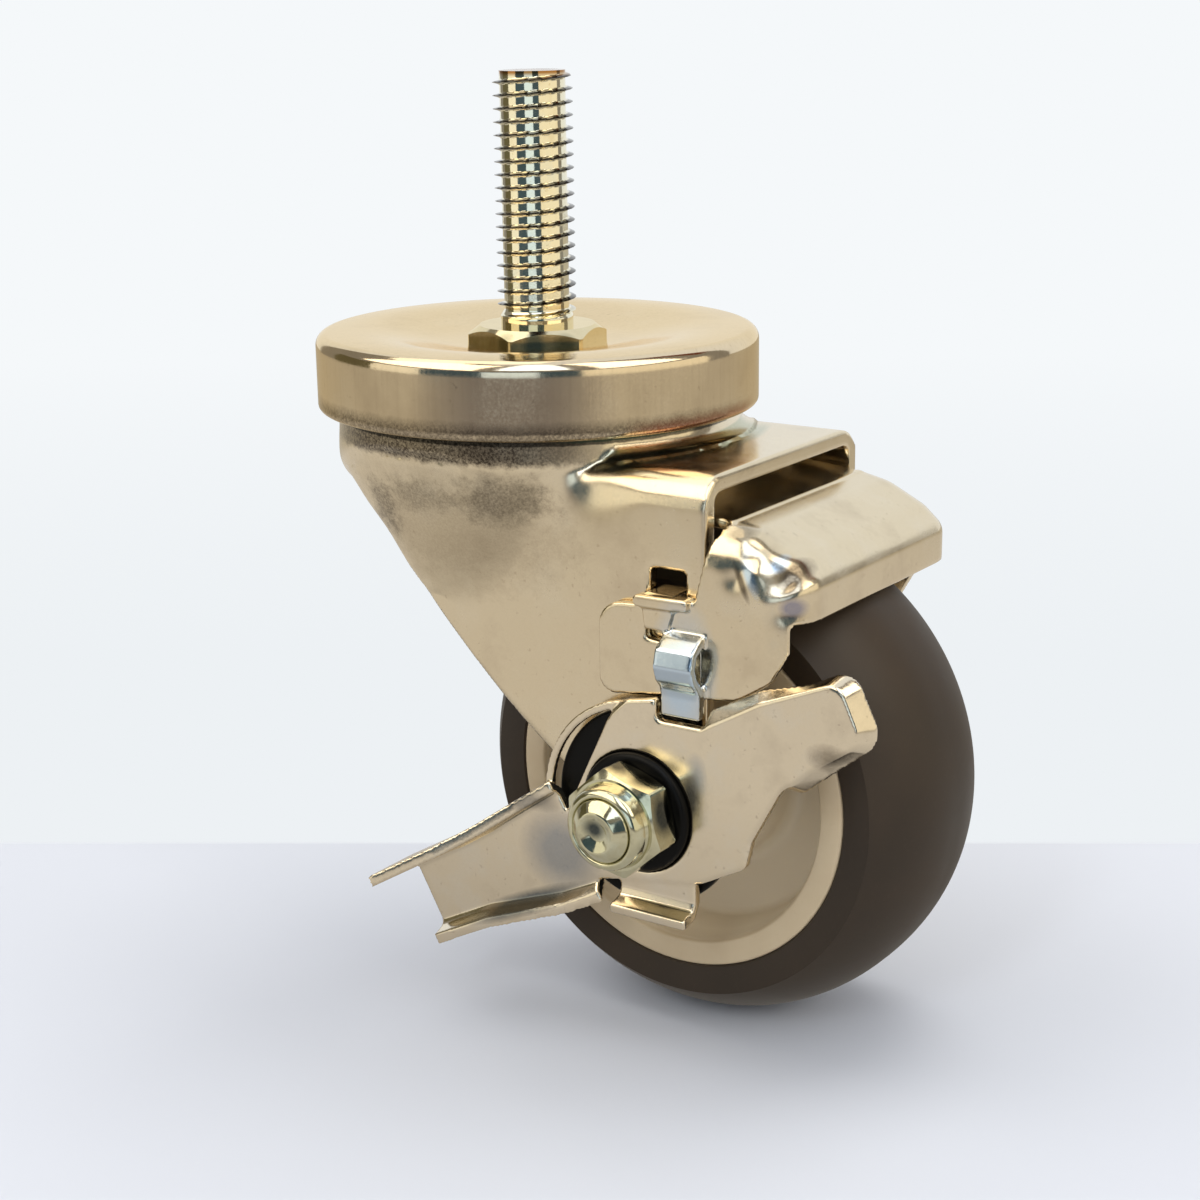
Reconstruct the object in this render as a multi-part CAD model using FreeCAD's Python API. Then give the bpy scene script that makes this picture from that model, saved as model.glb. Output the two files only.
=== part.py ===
import FreeCAD, Part
import math
import os
from FreeCAD import Vector

# Swivel castor with a threaded stem and a top-lock brake, in millimetres.
# Origin: stem axis at the top of the stem's hex collar, which seats against the furniture.
# +Z runs up the stem, +X is the trail direction towards the wheel, -Y is the pedal's side.
# The pieces are laid out from the cap's top face and lowered by the collar's height at the end.

# Stem: 1/2 in by 1-1/2 in shank above a hex collar, plain kingpin below, headed over under the lower race.
# Rings stand for the thread's turns, at 13 to the inch.
stem_d = 12.4
stem_length = 38.1
stem_end_break = 0.4
thread_pitch = 25.4 / 13
thread_depth = 1.1
thread_land = 0.45
thread_floor = 0.45
neck_length = 2.2
collar_flats = 19.0
collar_stand_up = 0.35
collar_turn = 13.0
kingpin_d = 11.0
kingpin_head_d = 18.0
kingpin_head_height = 2.6
kingpin_head_edge = 1.6

# Swivel cap
cap_d = 68.4
cap_height = 11.7
cap_sheet = 2.4
cap_edge_radius = 2.6
cap_rim_edge = 0.6
cap_dish_depth = 2.0
cap_dish_outer_d = 52.0
cap_dish_floor_d = 28.0
cap_dish_bend_radius = 40.0

# Ball rows
load_ball_d = 6.35
load_ball_inset = 6.0
load_ball_count = 18
thrust_ball_d = 4.76
thrust_ball_circle_d = 26.0
thrust_ball_count = 12
race_groove_depth = 0.7
ball_clearance = 0.12
lower_race_d = 35.0
lower_race_sheet = 2.4
lower_race_edge = 0.8

# Fork
fork_sheet = 2.4
drum_gap = 0.8
drum_top_radius = 3.0
drum_wall_bottom = -17.5
drum_foot_radius = 5.0
drum_inner_top_radius = 1.2
drum_inner_foot_radius = 3.5
drum_inner_foot_rise = 0.8
open_end = 0.01
bowl_bottom = -24.0
flare_top = -17.2
flare_bottom = -38.0
flare_foot_d = 46.0
flare_shoulder_radius = 1.5
flare_inner_radius = 0.5
bowl_rim_inset = 7.0
deck_top = -15.3
deck_rear = 44.0
deck_bend_radius = 4.7
deck_cove_radius = 1.6
leg_boss_radius = 11.5
leg_front_radius = 150.0
leg_foot_back = 8.0
leg_foot_low = 2.0
leg_low_front = (17.1, -59.9)
leg_mid_front = (-2.65, -44.65)
leg_high_front = (-17.1, -23.25)
leg_top_front = (-19.5, -19.0)
slot_width = 5.9
slot_height = 5.0
slot_corner = 0.3
slot_from_axle_x = 2.9
slot_from_axle_z = 32.9
king_clearance = 0.25

# Wheel
trail = 34.73
wheel_drop = 64.45
wheel_d = 76.2
tread_width = 31.8
tread_crown = 6.0
tread_crown_power = 2.5
core_d = 55.4
core_width = 31.2
core_rim_inner_d = 47.4
core_key_height = 2.2
core_key_width = 14.0
core_key_draft = 1.5
core_edge = 0.6
core_rim_step = 0.8
core_web_rise = 2.5
core_rim_root = 1.5
hub_root = 2.0
hub_root_step = 1.5
core_web = 7.0
hub_d = 24.0
hub_width = 36.0
bush_outer_d = 18.0
bush_flange_d = 21.0
bush_flange = 0.9
bush_length = 14.0
sleeve_outer_d = 13.0
running_clearance = 0.08
washer_d = 20.0
hub_washer_sheet = 1.0
hub_washer_play = 0.1

# Axle bolt, nut, hub bushing
bolt_d = 9.5
hex_flats = 14.3
bolt_head_height = 5.6
nut_hex_height = 5.4
nut_dome_height = 3.0
nut_dome_d = 12.4
nut_dome_edge = 1.8
bolt_end_reach = 1.4
bolt_end_break = 1.0
bolt_end_slope = 1.2
head_washer = 1.6
bushing_flange_d = 29.8
bushing_flange = 2.0
bushing_length = 5.2
bushing_flange_edge = 0.4
bushing_journal_edge = 0.8
pedal_hole_d = 18.2
pedal_fit = 0.08

# Brake pedal, its face standing off the near leg
pedal_stand_off = 4.1
pedal_sheet = 1.7
rim_outer_radius = 16.4
rim_width = 1.2
rim_sheet = 1.2
lip_depth = 3.4
arm_angle = math.radians(209.2)
arm_length = 44.3
arm_bend = 2.0
arm_flare = 0.8
arm_inner_bend = 0.3
arm_upper_reach = 11.0
arm_lower_reach = 3.0

# Brake shoe
shoe_sheet = 1.6
shoe_gap = 0.3
shoe_edge_radius = 6.0
shoe_crease_radius = 2.5
nose_gap = 0.6
tab_width = 6.4
tab_from_axle_x = 7.1
tab_fit = 0.55
tongue_width = 5.2
tongue_fit = 0.45
tongue_reach = 1.0
ledge_front = -0.9
ledge_rear = 8.0
ledge_stand_off = 1.3
neck_front = 0.6
neck_rear = 5.6
hole_top = 27.2
hole_height = 1.6

axle = Vector(trail, 0, -wheel_drop)
wheel_r = wheel_d / 2
drum_d = cap_d - 2 * cap_sheet - 2 * drum_gap
load_ball_circle_d = drum_d - 2 * load_ball_inset
bowl_rim_d = drum_d - 2 * bowl_rim_inset

# Depths out from the wheel's mid-plane
leg_inner = hub_width / 2 + bush_flange + hub_washer_play + hub_washer_sheet
leg_outer = leg_inner + fork_sheet
bushing_front = leg_outer + bushing_length
pedal_face = leg_outer + pedal_stand_off


def corner_wire(corners, place):
    """Closed outline with a tangent arc of the given radius at each corner (a, b, radius)."""
    count = len(corners)
    starts, middles, ends = [], [], []
    for i in range(count):
        a, b, radius = corners[i]
        here = Vector(a, b, 0)
        before = Vector(corners[i - 1][0], corners[i - 1][1], 0)
        after = Vector(corners[(i + 1) % count][0], corners[(i + 1) % count][1], 0)
        back = (before - here).normalize()
        ahead = (after - here).normalize()
        if radius <= 0:
            starts.append(here)
            middles.append(None)
            ends.append(here)
            continue
        half = back.getAngle(ahead) / 2
        reach = radius / math.tan(half)
        centre = here + (back + ahead).normalize() * (radius / math.sin(half))
        starts.append(here + back * reach)
        middles.append(centre + (here - centre).normalize() * radius)
        ends.append(here + ahead * reach)
    edges = []
    for i in range(count):
        if middles[i] is not None:
            arc = Part.Arc(place(starts[i]), place(middles[i]), place(ends[i]))
            edges.append(arc.toShape())
        tail = place(ends[i])
        head = place(starts[(i + 1) % count])
        if tail.distanceToPoint(head) > 1e-6:
            edges.append(Part.LineSegment(tail, head).toShape())
    return Part.Wire(edges)


def side_prism(corners, y_from, y_to, at_axle=True):
    """Outline in the XZ plane, from the axle or from the origin, pushed along Y."""
    base = axle if at_axle else Vector(0, 0, 0)
    wire = corner_wire(corners, lambda p: Vector(base.x + p.x, y_from, base.z + p.y))
    return Part.Face(wire).extrude(Vector(0, y_to - y_from, 0))


def turned_z(corners):
    """Outline of (radius, height, corner radius) turned about the stem's axis."""
    wire = corner_wire(corners, lambda p: Vector(p.x, 0, p.y))
    return Part.Face(wire).revolve(Vector(0, 0, 0), Vector(0, 0, 1), 360)


def turned_axle(corners):
    """Outline of (radius, y, corner radius) turned about the axle."""
    wire = corner_wire(corners, lambda p: Vector(axle.x + p.x, p.y, axle.z))
    return Part.Face(wire).revolve(axle, Vector(0, 1, 0), 360)


def rod_y(radius, y_from, y_to):
    """Round bar along the axle."""
    return Part.makeCylinder(radius, y_to - y_from, Vector(axle.x, y_from, axle.z), Vector(0, 1, 0))


def hex_prism(flats, base, direction, height):
    """Hexagonal bar with its corners turned off at the far end."""
    radius = flats / math.sqrt(3)
    points = []
    for i in range(7):
        turn = math.radians(60 * i + 30)
        points.append(Vector(radius * math.cos(turn), radius * math.sin(turn), 0))
    bar = Part.Face(Part.makePolygon(points)).extrude(Vector(0, 0, height))
    slope = (radius - flats / 2) * 0.6
    cone = Part.makeCone(radius + height - slope, flats / 2 + slope * 0.8, height)
    bar = bar.common(cone) if height > slope else bar
    bar.Placement = FreeCAD.Placement(base, FreeCAD.Rotation(Vector(0, 0, 1), direction))
    return bar


def groove_ring(ball_d, circle_d, centre_z):
    """Ring in which a row of balls rolls, used as a cutter for both races."""
    return Part.makeTorus(circle_d / 2, ball_d / 2 + ball_clearance, Vector(0, 0, centre_z))


def ball_row(ball_d, circle_d, centre_z, count):
    """Balls spaced evenly on their pitch circle."""
    balls = []
    for i in range(count):
        turn = 2 * math.pi * i / count
        spot = Vector(circle_d / 2 * math.cos(turn), circle_d / 2 * math.sin(turn), centre_z)
        balls.append(Part.makeSphere(ball_d / 2, spot))
    return Part.makeCompound(balls)


# Heights of the swivel stack, from the cap down
load_ball_z = -cap_sheet + race_groove_depth - load_ball_d / 2 - ball_clearance
drum_top = load_ball_z - load_ball_d / 2 - ball_clearance + race_groove_depth
drum_under = drum_top - fork_sheet
thrust_ball_z = drum_under + race_groove_depth - thrust_ball_d / 2 - ball_clearance
lower_race_top = thrust_ball_z - thrust_ball_d / 2 - ball_clearance + race_groove_depth
lower_race_under = lower_race_top - lower_race_sheet


def threaded_shank():
    """Plain neck, then a ring for each turn of the thread, then the chamfered end."""
    r = stem_d / 2
    root = r - thread_depth
    foot = collar_stand_up
    top = foot + stem_length
    turns = int((stem_length - neck_length) / thread_pitch)
    flank = (thread_pitch - thread_land - thread_floor) / 2
    outline = [(0, foot - cap_dish_depth, 0), (r, foot - cap_dish_depth, 0), (r, foot + neck_length, 0)]
    for i in range(turns):
        rise = foot + neck_length + i * thread_pitch
        outline += [(root, rise, 0), (root, rise + thread_floor, 0), (r, rise + thread_floor + flank, 0),
                    (r, rise + thread_pitch - flank, 0)]
    outline += [(root, top - stem_end_break, 0), (root - stem_end_break, top, 0), (0, top, 0)]
    return turned_z(outline)


def threaded_stem():
    """Shank, hex collar, kingpin and headed-over end in one piece."""
    foot = Vector(0, 0, -cap_dish_depth)
    up = Vector(0, 0, 1)
    collar = hex_prism(collar_flats, foot, up, cap_dish_depth + collar_stand_up)
    collar.rotate(foot, up, collar_turn)
    head_r = kingpin_head_d / 2
    pin_r = kingpin_d / 2
    head = lower_race_under - kingpin_head_height
    pin = turned_z([(0, 0, 0), (pin_r, 0, 0), (pin_r, lower_race_under, 0), (head_r, lower_race_under, 0),
                    (head_r, head, kingpin_head_edge), (0, head, 0)])
    return threaded_shank().fuse([collar, pin]).removeSplitter()


def swivel_cap():
    """Pressed cap with a rolled edge, a dish for the collar and the upper ball race on its underside."""
    r = cap_d / 2
    hole = kingpin_d / 2
    rim = cap_dish_outer_d / 2
    floor = cap_dish_floor_d / 2
    bend = cap_dish_bend_radius
    low = -cap_dish_depth
    edge = cap_rim_edge
    inner = r - cap_sheet
    cup = turned_z([(hole, low, 0), (floor, low, bend), (rim, 0, bend), (r, 0, cap_edge_radius),
                    (r, -cap_height, edge), (inner, -cap_height, edge), (inner, -cap_sheet, edge),
                    (rim, -cap_sheet, bend), (floor, low - cap_sheet, bend), (hole, low - cap_sheet, 0)])
    return cup.cut(groove_ring(load_ball_d, load_ball_circle_d, load_ball_z))


def lower_race():
    """Dished washer that carries the thrust balls, held by the kingpin's head."""
    r = lower_race_d / 2
    hole = kingpin_d / 2
    edge = lower_race_edge
    ring = turned_z([(hole, lower_race_top, 0), (r, lower_race_top, edge), (r, lower_race_under, edge),
                     (hole, lower_race_under, 0)])
    return ring.cut(groove_ring(thrust_ball_d, thrust_ball_circle_d, thrust_ball_z))


def fork_outer():
    """Outside of the pressing: race drum, bowl under it, channel with bent shoulders."""
    r = drum_d / 2
    rim = bowl_rim_d / 2
    drum = turned_z([(0, drum_top, 0), (r, drum_top, drum_top_radius),
                     (r, drum_wall_bottom, drum_foot_radius), (rim, bowl_bottom, 0), (0, bowl_bottom, 0)])
    flare = turned_z([(0, flare_top, 0), (r, flare_top, flare_shoulder_radius),
                      (flare_foot_d / 2, flare_bottom, 0), (0, flare_bottom, 0)])
    w = leg_outer
    low = -wheel_drop - 2 * leg_boss_radius
    bend = deck_bend_radius
    wire = corner_wire([(-w, low, 0), (-w, deck_top, bend), (w, deck_top, bend), (w, low, 0)],
                       lambda p: Vector(-r, p.x, p.y))
    channel = Part.Face(wire).extrude(Vector(r + deck_rear, 0, 0))
    behind_front = [(deck_rear, 0, 0), (deck_rear, -wheel_drop, 0),
                    (trail - leg_foot_back, -wheel_drop - leg_foot_low, 0), (*leg_low_front, 0),
                    (*leg_mid_front, leg_front_radius), (*leg_high_front, 0), (*leg_top_front, 0),
                    (leg_top_front[0], 0, 0)]
    front = side_prism(behind_front, -w, w, at_axle=False)
    flare = flare.common(side_prism(behind_front, -r, r, at_axle=False))
    boss = rod_y(leg_boss_radius, -w, w)
    return drum, channel.common(front.fuse(boss)).fuse(flare)


def fork():
    """Fork pressing: outside less inside, with kingpin hole, races, slots and axle hole."""
    drum, legs = fork_outer()
    r = drum_d / 2 - fork_sheet
    rim = bowl_rim_d / 2 - fork_sheet * 0.8
    cavity = turned_z([(0, drum_under, 0), (r, drum_under, drum_inner_top_radius),
                       (r, drum_wall_bottom + drum_inner_foot_rise, drum_inner_foot_radius),
                       (rim, bowl_bottom - open_end, 0), (0, bowl_bottom - open_end, 0)])
    flare_inside = turned_z([(0, flare_top, 0), (r, flare_top, flare_inner_radius),
                             (flare_foot_d / 2 - fork_sheet, flare_bottom, 0), (0, flare_bottom, 0)])
    w = leg_inner
    low = -wheel_drop - 2 * leg_boss_radius
    under = deck_top - fork_sheet
    inner_bend = deck_bend_radius - fork_sheet
    wire = corner_wire([(-w, low, 0), (-w, under, inner_bend), (w, under, inner_bend), (w, low, 0)],
                       lambda p: Vector(0, p.x, p.y))
    channel = Part.Face(wire).extrude(Vector(deck_rear + 10, 0, 0))
    well = Part.makeBox(2 * deck_rear, 2 * w, wheel_drop, Vector(-deck_rear, -w, bowl_bottom - wheel_drop))
    body = drum.fuse(legs)
    wall = drum_d / 2
    reach = deck_cove_radius
    cove = turned_z([(wall - 1, deck_top - 0.5, 0), (wall + reach, deck_top - 0.5, 0),
                     (wall + reach, deck_top, 0), (wall, deck_top + reach, 0),
                     (wall - 1, deck_top + reach, 0)])
    deck_box = Part.makeBox(deck_rear, 2 * (leg_outer - deck_bend_radius), 10,
                            Vector(0, -leg_outer + deck_bend_radius, deck_top - 1))
    body = body.fuse(cove.common(deck_box))
    body = body.cut(cavity).cut(flare_inside).cut(channel).cut(well)
    king_hole = Part.makeCylinder(kingpin_d / 2 + king_clearance, 3 * fork_sheet,
                                  Vector(0, 0, drum_under - fork_sheet))
    body = body.cut(king_hole)
    body = body.cut(groove_ring(load_ball_d, load_ball_circle_d, load_ball_z))
    body = body.cut(groove_ring(thrust_ball_d, thrust_ball_circle_d, thrust_ball_z))
    front = slot_from_axle_x - slot_width / 2
    rear = slot_from_axle_x + slot_width / 2
    foot = slot_from_axle_z - slot_height / 2
    head = slot_from_axle_z + slot_height / 2
    corner = slot_corner
    slot = side_prism([(front, foot, corner), (rear, foot, corner), (rear, head, corner),
                       (front, head, corner)], -leg_outer - 1, leg_outer + 1)
    body = body.cut(slot)
    body = body.cut(rod_y(bolt_d / 2, -leg_outer - 1, leg_outer + 1))
    return body.removeSplitter()


def tyre():
    """Crowned tread moulded over the core: radius falls with the power of the side distance."""
    half = tread_width / 2
    side_radius = wheel_r - tread_crown
    samples = 8
    crown = []
    for i in range(-samples, samples + 1):
        share = i / samples
        y = half * math.copysign(abs(share) ** 0.7, share)
        crown.append((wheel_r - tread_crown * abs(y / half) ** tread_crown_power, y))
    points = [Vector(axle.x + r, y, axle.z) for r, y in crown]
    curve = Part.BSplineCurve()
    curve.interpolate(points)
    key = core_key_width / 2
    seat = core_d / 2
    face = core_width / 2
    path = [Vector(axle.x + seat, -face, axle.z), Vector(axle.x + side_radius, -half, axle.z)]
    back = [Vector(axle.x + side_radius, half, axle.z), Vector(axle.x + seat, face, axle.z),
            Vector(axle.x + seat, key, axle.z),
            Vector(axle.x + seat + core_key_height, key - core_key_draft, axle.z),
            Vector(axle.x + seat + core_key_height, -key + core_key_draft, axle.z),
            Vector(axle.x + seat, -key, axle.z),
            Vector(axle.x + seat, -face, axle.z)]
    edges = [Part.LineSegment(path[0], path[1]).toShape(), curve.toShape()]
    for i in range(len(back) - 1):
        edges.append(Part.LineSegment(back[i], back[i + 1]).toShape())
    return Part.Face(Part.Wire(edges)).revolve(axle, Vector(0, 1, 0), 360)


def wheel_core():
    """Moulded core: rim with a key under the tread, dished web, hub bored for the bushes."""
    seat = core_d / 2
    face = core_width / 2
    key = core_key_width / 2
    rim = core_rim_inner_d / 2
    hub = hub_d / 2
    web = core_web / 2
    end = hub_width / 2
    bore = bush_outer_d / 2
    crest = seat + core_key_height
    slope = key - core_key_draft
    foot = rim - core_rim_step
    rise = web + core_web_rise
    root = hub + hub_root_step
    return turned_axle([
        (seat, -face, 0), (seat, -key, 0), (crest, -slope, 0), (crest, slope, 0), (seat, key, 0),
        (seat, face, 0), (rim, face, core_edge), (foot, rise, core_rim_root), (root, web, hub_root),
        (hub, end, core_edge), (bore, end, 0), (bore, -end, 0), (hub, -end, core_edge),
        (root, -web, hub_root), (foot, -rise, core_rim_root), (rim, -face, core_edge)])


def wheel_bush(side):
    """Flanged plain bush pressed into one end of the hub."""
    outer = bush_outer_d / 2
    bore = sleeve_outer_d / 2 + running_clearance
    end = hub_width / 2
    flange = bush_flange_d / 2
    inside = side * (end - bush_length)
    outside = side * (end + bush_flange)
    return turned_axle([(bore, inside, 0), (outer, inside, 0), (outer, side * end, 0),
                        (flange, side * end, 0), (flange, outside, 0), (bore, outside, 0)])


def axle_sleeve():
    """Steel tube clamped between the legs, on which the bushes turn."""
    tube = rod_y(sleeve_outer_d / 2, -leg_inner, leg_inner)
    return tube.cut(rod_y(bolt_d / 2, -leg_inner - 1, leg_inner + 1))


def hub_washer(side):
    """Thin washer on the sleeve between a bush flange and the leg."""
    inner = sleeve_outer_d / 2
    near = leg_inner - hub_washer_sheet
    low, high = sorted((side * near, side * leg_inner))
    ring = rod_y(washer_d / 2, low, high)
    return ring.cut(rod_y(inner, low - 1, high + 1))


def axle_bolt():
    """Hex head on the far side, shank through both legs, rounded end past the nut."""
    end = -(bushing_front + nut_hex_height + nut_dome_height + bolt_end_reach)
    start = leg_outer + head_washer
    r = bolt_d / 2
    shank = turned_axle([(0, end, 0), (r - bolt_end_break, end, 0), (r, end + bolt_end_slope, 0),
                         (r, start, 0), (0, start, 0)])
    head = hex_prism(hex_flats, Vector(axle.x, start, axle.z), Vector(0, 1, 0), bolt_head_height)
    return shank.fuse(head)


def lock_nut():
    """Hex nut with a domed locking collar on its outer end."""
    base = Vector(axle.x, -bushing_front, axle.z)
    body = hex_prism(hex_flats, base, Vector(0, -1, 0), nut_hex_height)
    foot = -(bushing_front + nut_hex_height)
    top = foot - nut_dome_height
    r = bolt_d / 2
    wall = nut_dome_d / 2
    dome = turned_axle([(r - 1, foot + 1, 0), (wall, foot + 1, 0), (wall, top, nut_dome_edge),
                        (r - 1, top, 0)])
    nut = body.fuse(dome)
    return nut.cut(rod_y(r, top - 1, 1 - bushing_front)).removeSplitter()


def hub_bushing():
    """Black bushing: flange against the near leg, journal for the pedal."""
    journal = pedal_hole_d / 2 - pedal_fit
    r = bolt_d / 2
    flange = bushing_flange_d / 2
    step = -leg_outer - bushing_flange
    return turned_axle([(r, -leg_outer, 0), (flange, -leg_outer, bushing_flange_edge),
                        (flange, step, bushing_flange_edge), (journal, step, 0),
                        (journal, -bushing_front, bushing_journal_edge), (r, -bushing_front, 0)])


def head_washer_ring():
    """Washer under the bolt head."""
    ring = rod_y(washer_d / 2, leg_outer, leg_outer + head_washer)
    return ring.cut(rod_y(bolt_d / 2, leg_outer - 1, leg_outer + head_washer + 1))


def station_wire(run, upper, lower, upper_depth, lower_depth):
    """Cross-section of the front arm at a distance from the axle: web with two flanges turned outward."""
    along = Vector(math.cos(arm_angle), 0, math.sin(arm_angle))
    across = Vector(along.z, 0, -along.x)
    back = pedal_face - pedal_sheet
    t = pedal_sheet
    c = arm_bend
    inner = arm_bend + arm_inner_bend
    flared = -lower - arm_flare
    section = [(upper, upper_depth), (upper, back + c), (upper - c, back), (-lower + c, back),
               (-lower, back + c), (flared, lower_depth), (flared + t, lower_depth),
               (-lower + t, back + inner), (-lower + inner, back + t), (upper - inner, back + t),
               (upper - t, back + inner), (upper - t, upper_depth)]
    points = [axle + along * run + across * u + Vector(0, -depth, 0) for u, depth in section]
    return Part.makePolygon(points + points[:1])


def front_arm():
    """Channel-shaped foot lever, its upper flange rising towards the tip."""
    reach = arm_length
    face = pedal_face
    stations = [station_wire(12.0, 9.0, 9.8, face + 0.9, face + 1.1),
                station_wire(19.0, 8.3, 9.4, face + 2.3, face + 1.9),
                station_wire(0.6 * reach, 7.4, 8.2, face + 4.9, face + 2.5),
                station_wire(0.75 * reach, 7.0, 7.2, face + 7.5, face + 2.8),
                station_wire(reach, 6.8, 6.8, face + arm_upper_reach, face + arm_lower_reach)]
    return Part.makeLoft(stations, True, True)


def depth_wire(corners, depth):
    """Outline about the axle at a depth out from the wheel's mid-plane."""
    return corner_wire(corners, lambda p: Vector(axle.x + p.x, -depth, axle.z + p.y))


def pedal_face_plate():
    """Flat face with its notch for the shoe's tab and a sloped shoulder beside it."""
    n = tab_from_axle_x - tab_width / 2 - tab_fit
    m = tab_from_axle_x + tab_width / 2 + tab_fit
    front = [(-8.9, 4.8, 1.0), (-4.6, 13.8, 5.0), (-1.7, 16.6, 0.5), (n, 17.6, 0.6), (n, 14.4, 1.0),
             (m, 14.4, 0.6), (m + 0.8, 14.7, 0.6), (20.4, 19.7, 8.0), (32.4, 24.9, 2.5), (36.1, 16.8, 3.0),
             (29.1, 12.2, 5.0), (23.5, 7.3, 4.0), (19.0, -1.0, 1.2), (18.0, -5.2, 1.6), (10.8, -9.0, 3.0),
             (-1.4, -10.9, 2.0), (-9.0, -12.5, 3.0), (-14.0, -6.0, 3.0)]
    back = list(front)
    back[6] = (m + 0.8, 17.3, 0.6)
    back[7] = (19.6, 21.4, 8.0)
    plate = [depth_wire(front, pedal_face), depth_wire(back, pedal_face - pedal_sheet)]
    return Part.makeLoft(plate, True, True)


def rear_arm_lip():
    """Sides of the rear arm, drawn back towards the wheel all round its free end."""
    top = [(20.0, 14.0, 0), (24.0, 21.2, 1.0), (32.4, 24.9, 2.5), (36.1, 16.8, 3.0),
           (29.1, 12.2, 5.0), (23.5, 7.3, 2.0)]
    foot = [(20.0, 14.0, 0), (24.0, 21.6, 1.0), (33.2, 26.2, 3.0), (38.0, 16.4, 4.0),
            (30.2, 10.2, 6.0), (24.6, 5.6, 2.0)]
    hole = [(19.0, 14.0, 0), (24.0, 20.0, 1.0), (32.2, 24.2, 2.0), (36.0, 16.9, 2.5),
            (29.2, 12.0, 5.0), (23.2, 7.0, 1.5)]
    core = [(19.0, 14.0, 0), (24.0, 20.2, 1.0), (32.6, 24.8, 2.5), (36.6, 16.8, 3.0),
            (29.6, 11.6, 5.0), (23.6, 6.6, 1.5)]
    low = pedal_face - lip_depth
    outside = Part.makeLoft([depth_wire(top, pedal_face), depth_wire(foot, low)], True, True)
    inside = Part.makeLoft([depth_wire(hole, pedal_face - pedal_sheet), depth_wire(core, low - 0.1)],
                           True, True)
    return outside.cut(inside)


def under_lip():
    """Gutter-shaped lip bent outward under the hub."""
    back = pedal_face - pedal_sheet
    section = [(back, -9.5), (back, -12.5), (back + 1.4, -14.8), (back + 4.5, -15.4), (back + 4.7, -14.0),
               (back + 2.1, -13.4), (back + 1.6, -12.3), (back + 1.6, -9.5)]
    points = [Vector(axle.x - 3.0, -depth, axle.z + z) for depth, z in section]
    return Part.Face(Part.makePolygon(points + points[:1])).extrude(Vector(12.8, 0, 0))


def brake_pedal():
    """See-saw stamping: face, hub rim round a crescent window, rear arm, channel-shaped front arm."""
    back = -(pedal_face - pedal_sheet)
    rim_front = back - rim_sheet
    rim = rod_y(rim_outer_radius, rim_front, back)
    rim = rim.cut(rod_y(rim_outer_radius - rim_width, rim_front - 1, back + 1))
    wedge = side_prism([(0, 0, 0), (3.0, 24, 0), (-24, 24, 0), (-24, -8, 0)], rim_front - 1, back + 1)
    body = pedal_face_plate().fuse([rim.common(wedge), front_arm(), rear_arm_lip(), under_lip()])
    return body.cut(rod_y(pedal_hole_d / 2, -pedal_face - arm_upper_reach, -leg_outer)).removeSplitter()


def curled_tab():
    """Strip lanced out of the near side plate: out, round and down into the pedal's notch."""
    plate = leg_outer + shoe_gap
    line = [(plate + 0.9, 27.0), (plate + 2.6, 26.2), (plate + 4.3, 25.0), (plate + 4.8, 23.0),
            (plate + 4.2, 21.2), (plate + 3.0, 19.8), (plate + 2.6, 18.2), (plate + 2.6, 15.2)]
    t = shoe_sheet - 0.2
    outer, inner = [], []
    for i, (depth, z) in enumerate(line):
        before = line[max(i - 1, 0)]
        after = line[min(i + 1, len(line) - 1)]
        run = Vector(after[0] - before[0], after[1] - before[1], 0).normalize()
        outer.append((depth - run.y * t / 2, z + run.x * t / 2))
        inner.append((depth + run.y * t / 2, z - run.x * t / 2))
    section = outer + inner[::-1]
    start = axle.x + tab_from_axle_x - tab_width / 2
    points = [Vector(start, -depth, axle.z + z) for depth, z in section]
    return Part.Face(Part.makePolygon(points + points[:1])).extrude(Vector(tab_width, 0, 0))


def shoe_tongue(side):
    """Tongue that reaches from a side plate through the leg's slot: the shoe's pivot."""
    face = leg_outer + shoe_gap
    x = slot_from_axle_x
    foot = slot_from_axle_z - slot_height / 2 + tongue_fit
    half = tongue_width / 2
    top = foot + shoe_sheet
    parts = []
    outside = face + shoe_sheet
    for low, near, far in ((foot, leg_inner - tongue_reach, outside), (foot - 1.5, face, outside)):
        y_from, y_to = sorted((side * near, side * far))
        corners = [(x - half, low, 0), (x + half, low, 0), (x + half, top, 0.4), (x - half, top, 0.4)]
        parts.append(side_prism(corners, y_from, y_to))
    return parts[0].fuse(parts[1])


def near_hook():
    """Ledge and neck of the near tongue, standing out from the side plate above the hole."""
    plate = leg_outer + shoe_gap
    front = plate + shoe_sheet + ledge_stand_off
    foot = slot_from_axle_z - slot_height / 2 + tongue_fit
    top = foot + shoe_sheet - 0.1
    ledge = side_prism([(ledge_front, foot - 0.4, 0.6), (ledge_rear, foot - 0.2, 0.6), (ledge_rear, top, 0.6),
                        (ledge_front, top - 0.2, 0.6)], -front, -plate)
    neck = side_prism([(neck_front, hole_top, 0.4), (neck_rear - 1.2, hole_top, 0.4), (neck_rear, foot, 0),
                       (neck_front - 0.4, foot, 0)], -front + 0.5, -plate)
    return ledge.fuse(neck)


def level_edges(shape, side_y, x_from, z_from):
    """Edges of a prism's end faces that lie beyond a distance and above a height from the axle."""
    found = []
    for edge in shape.Edges:
        box = edge.BoundBox
        on_side = box.YMax - box.YMin < 0.01 and abs(abs(box.YMax) - side_y) < 0.01
        if on_side and box.XMin > axle.x + x_from and box.ZMin > axle.z + z_from:
            found.append(edge)
    return found


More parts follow.
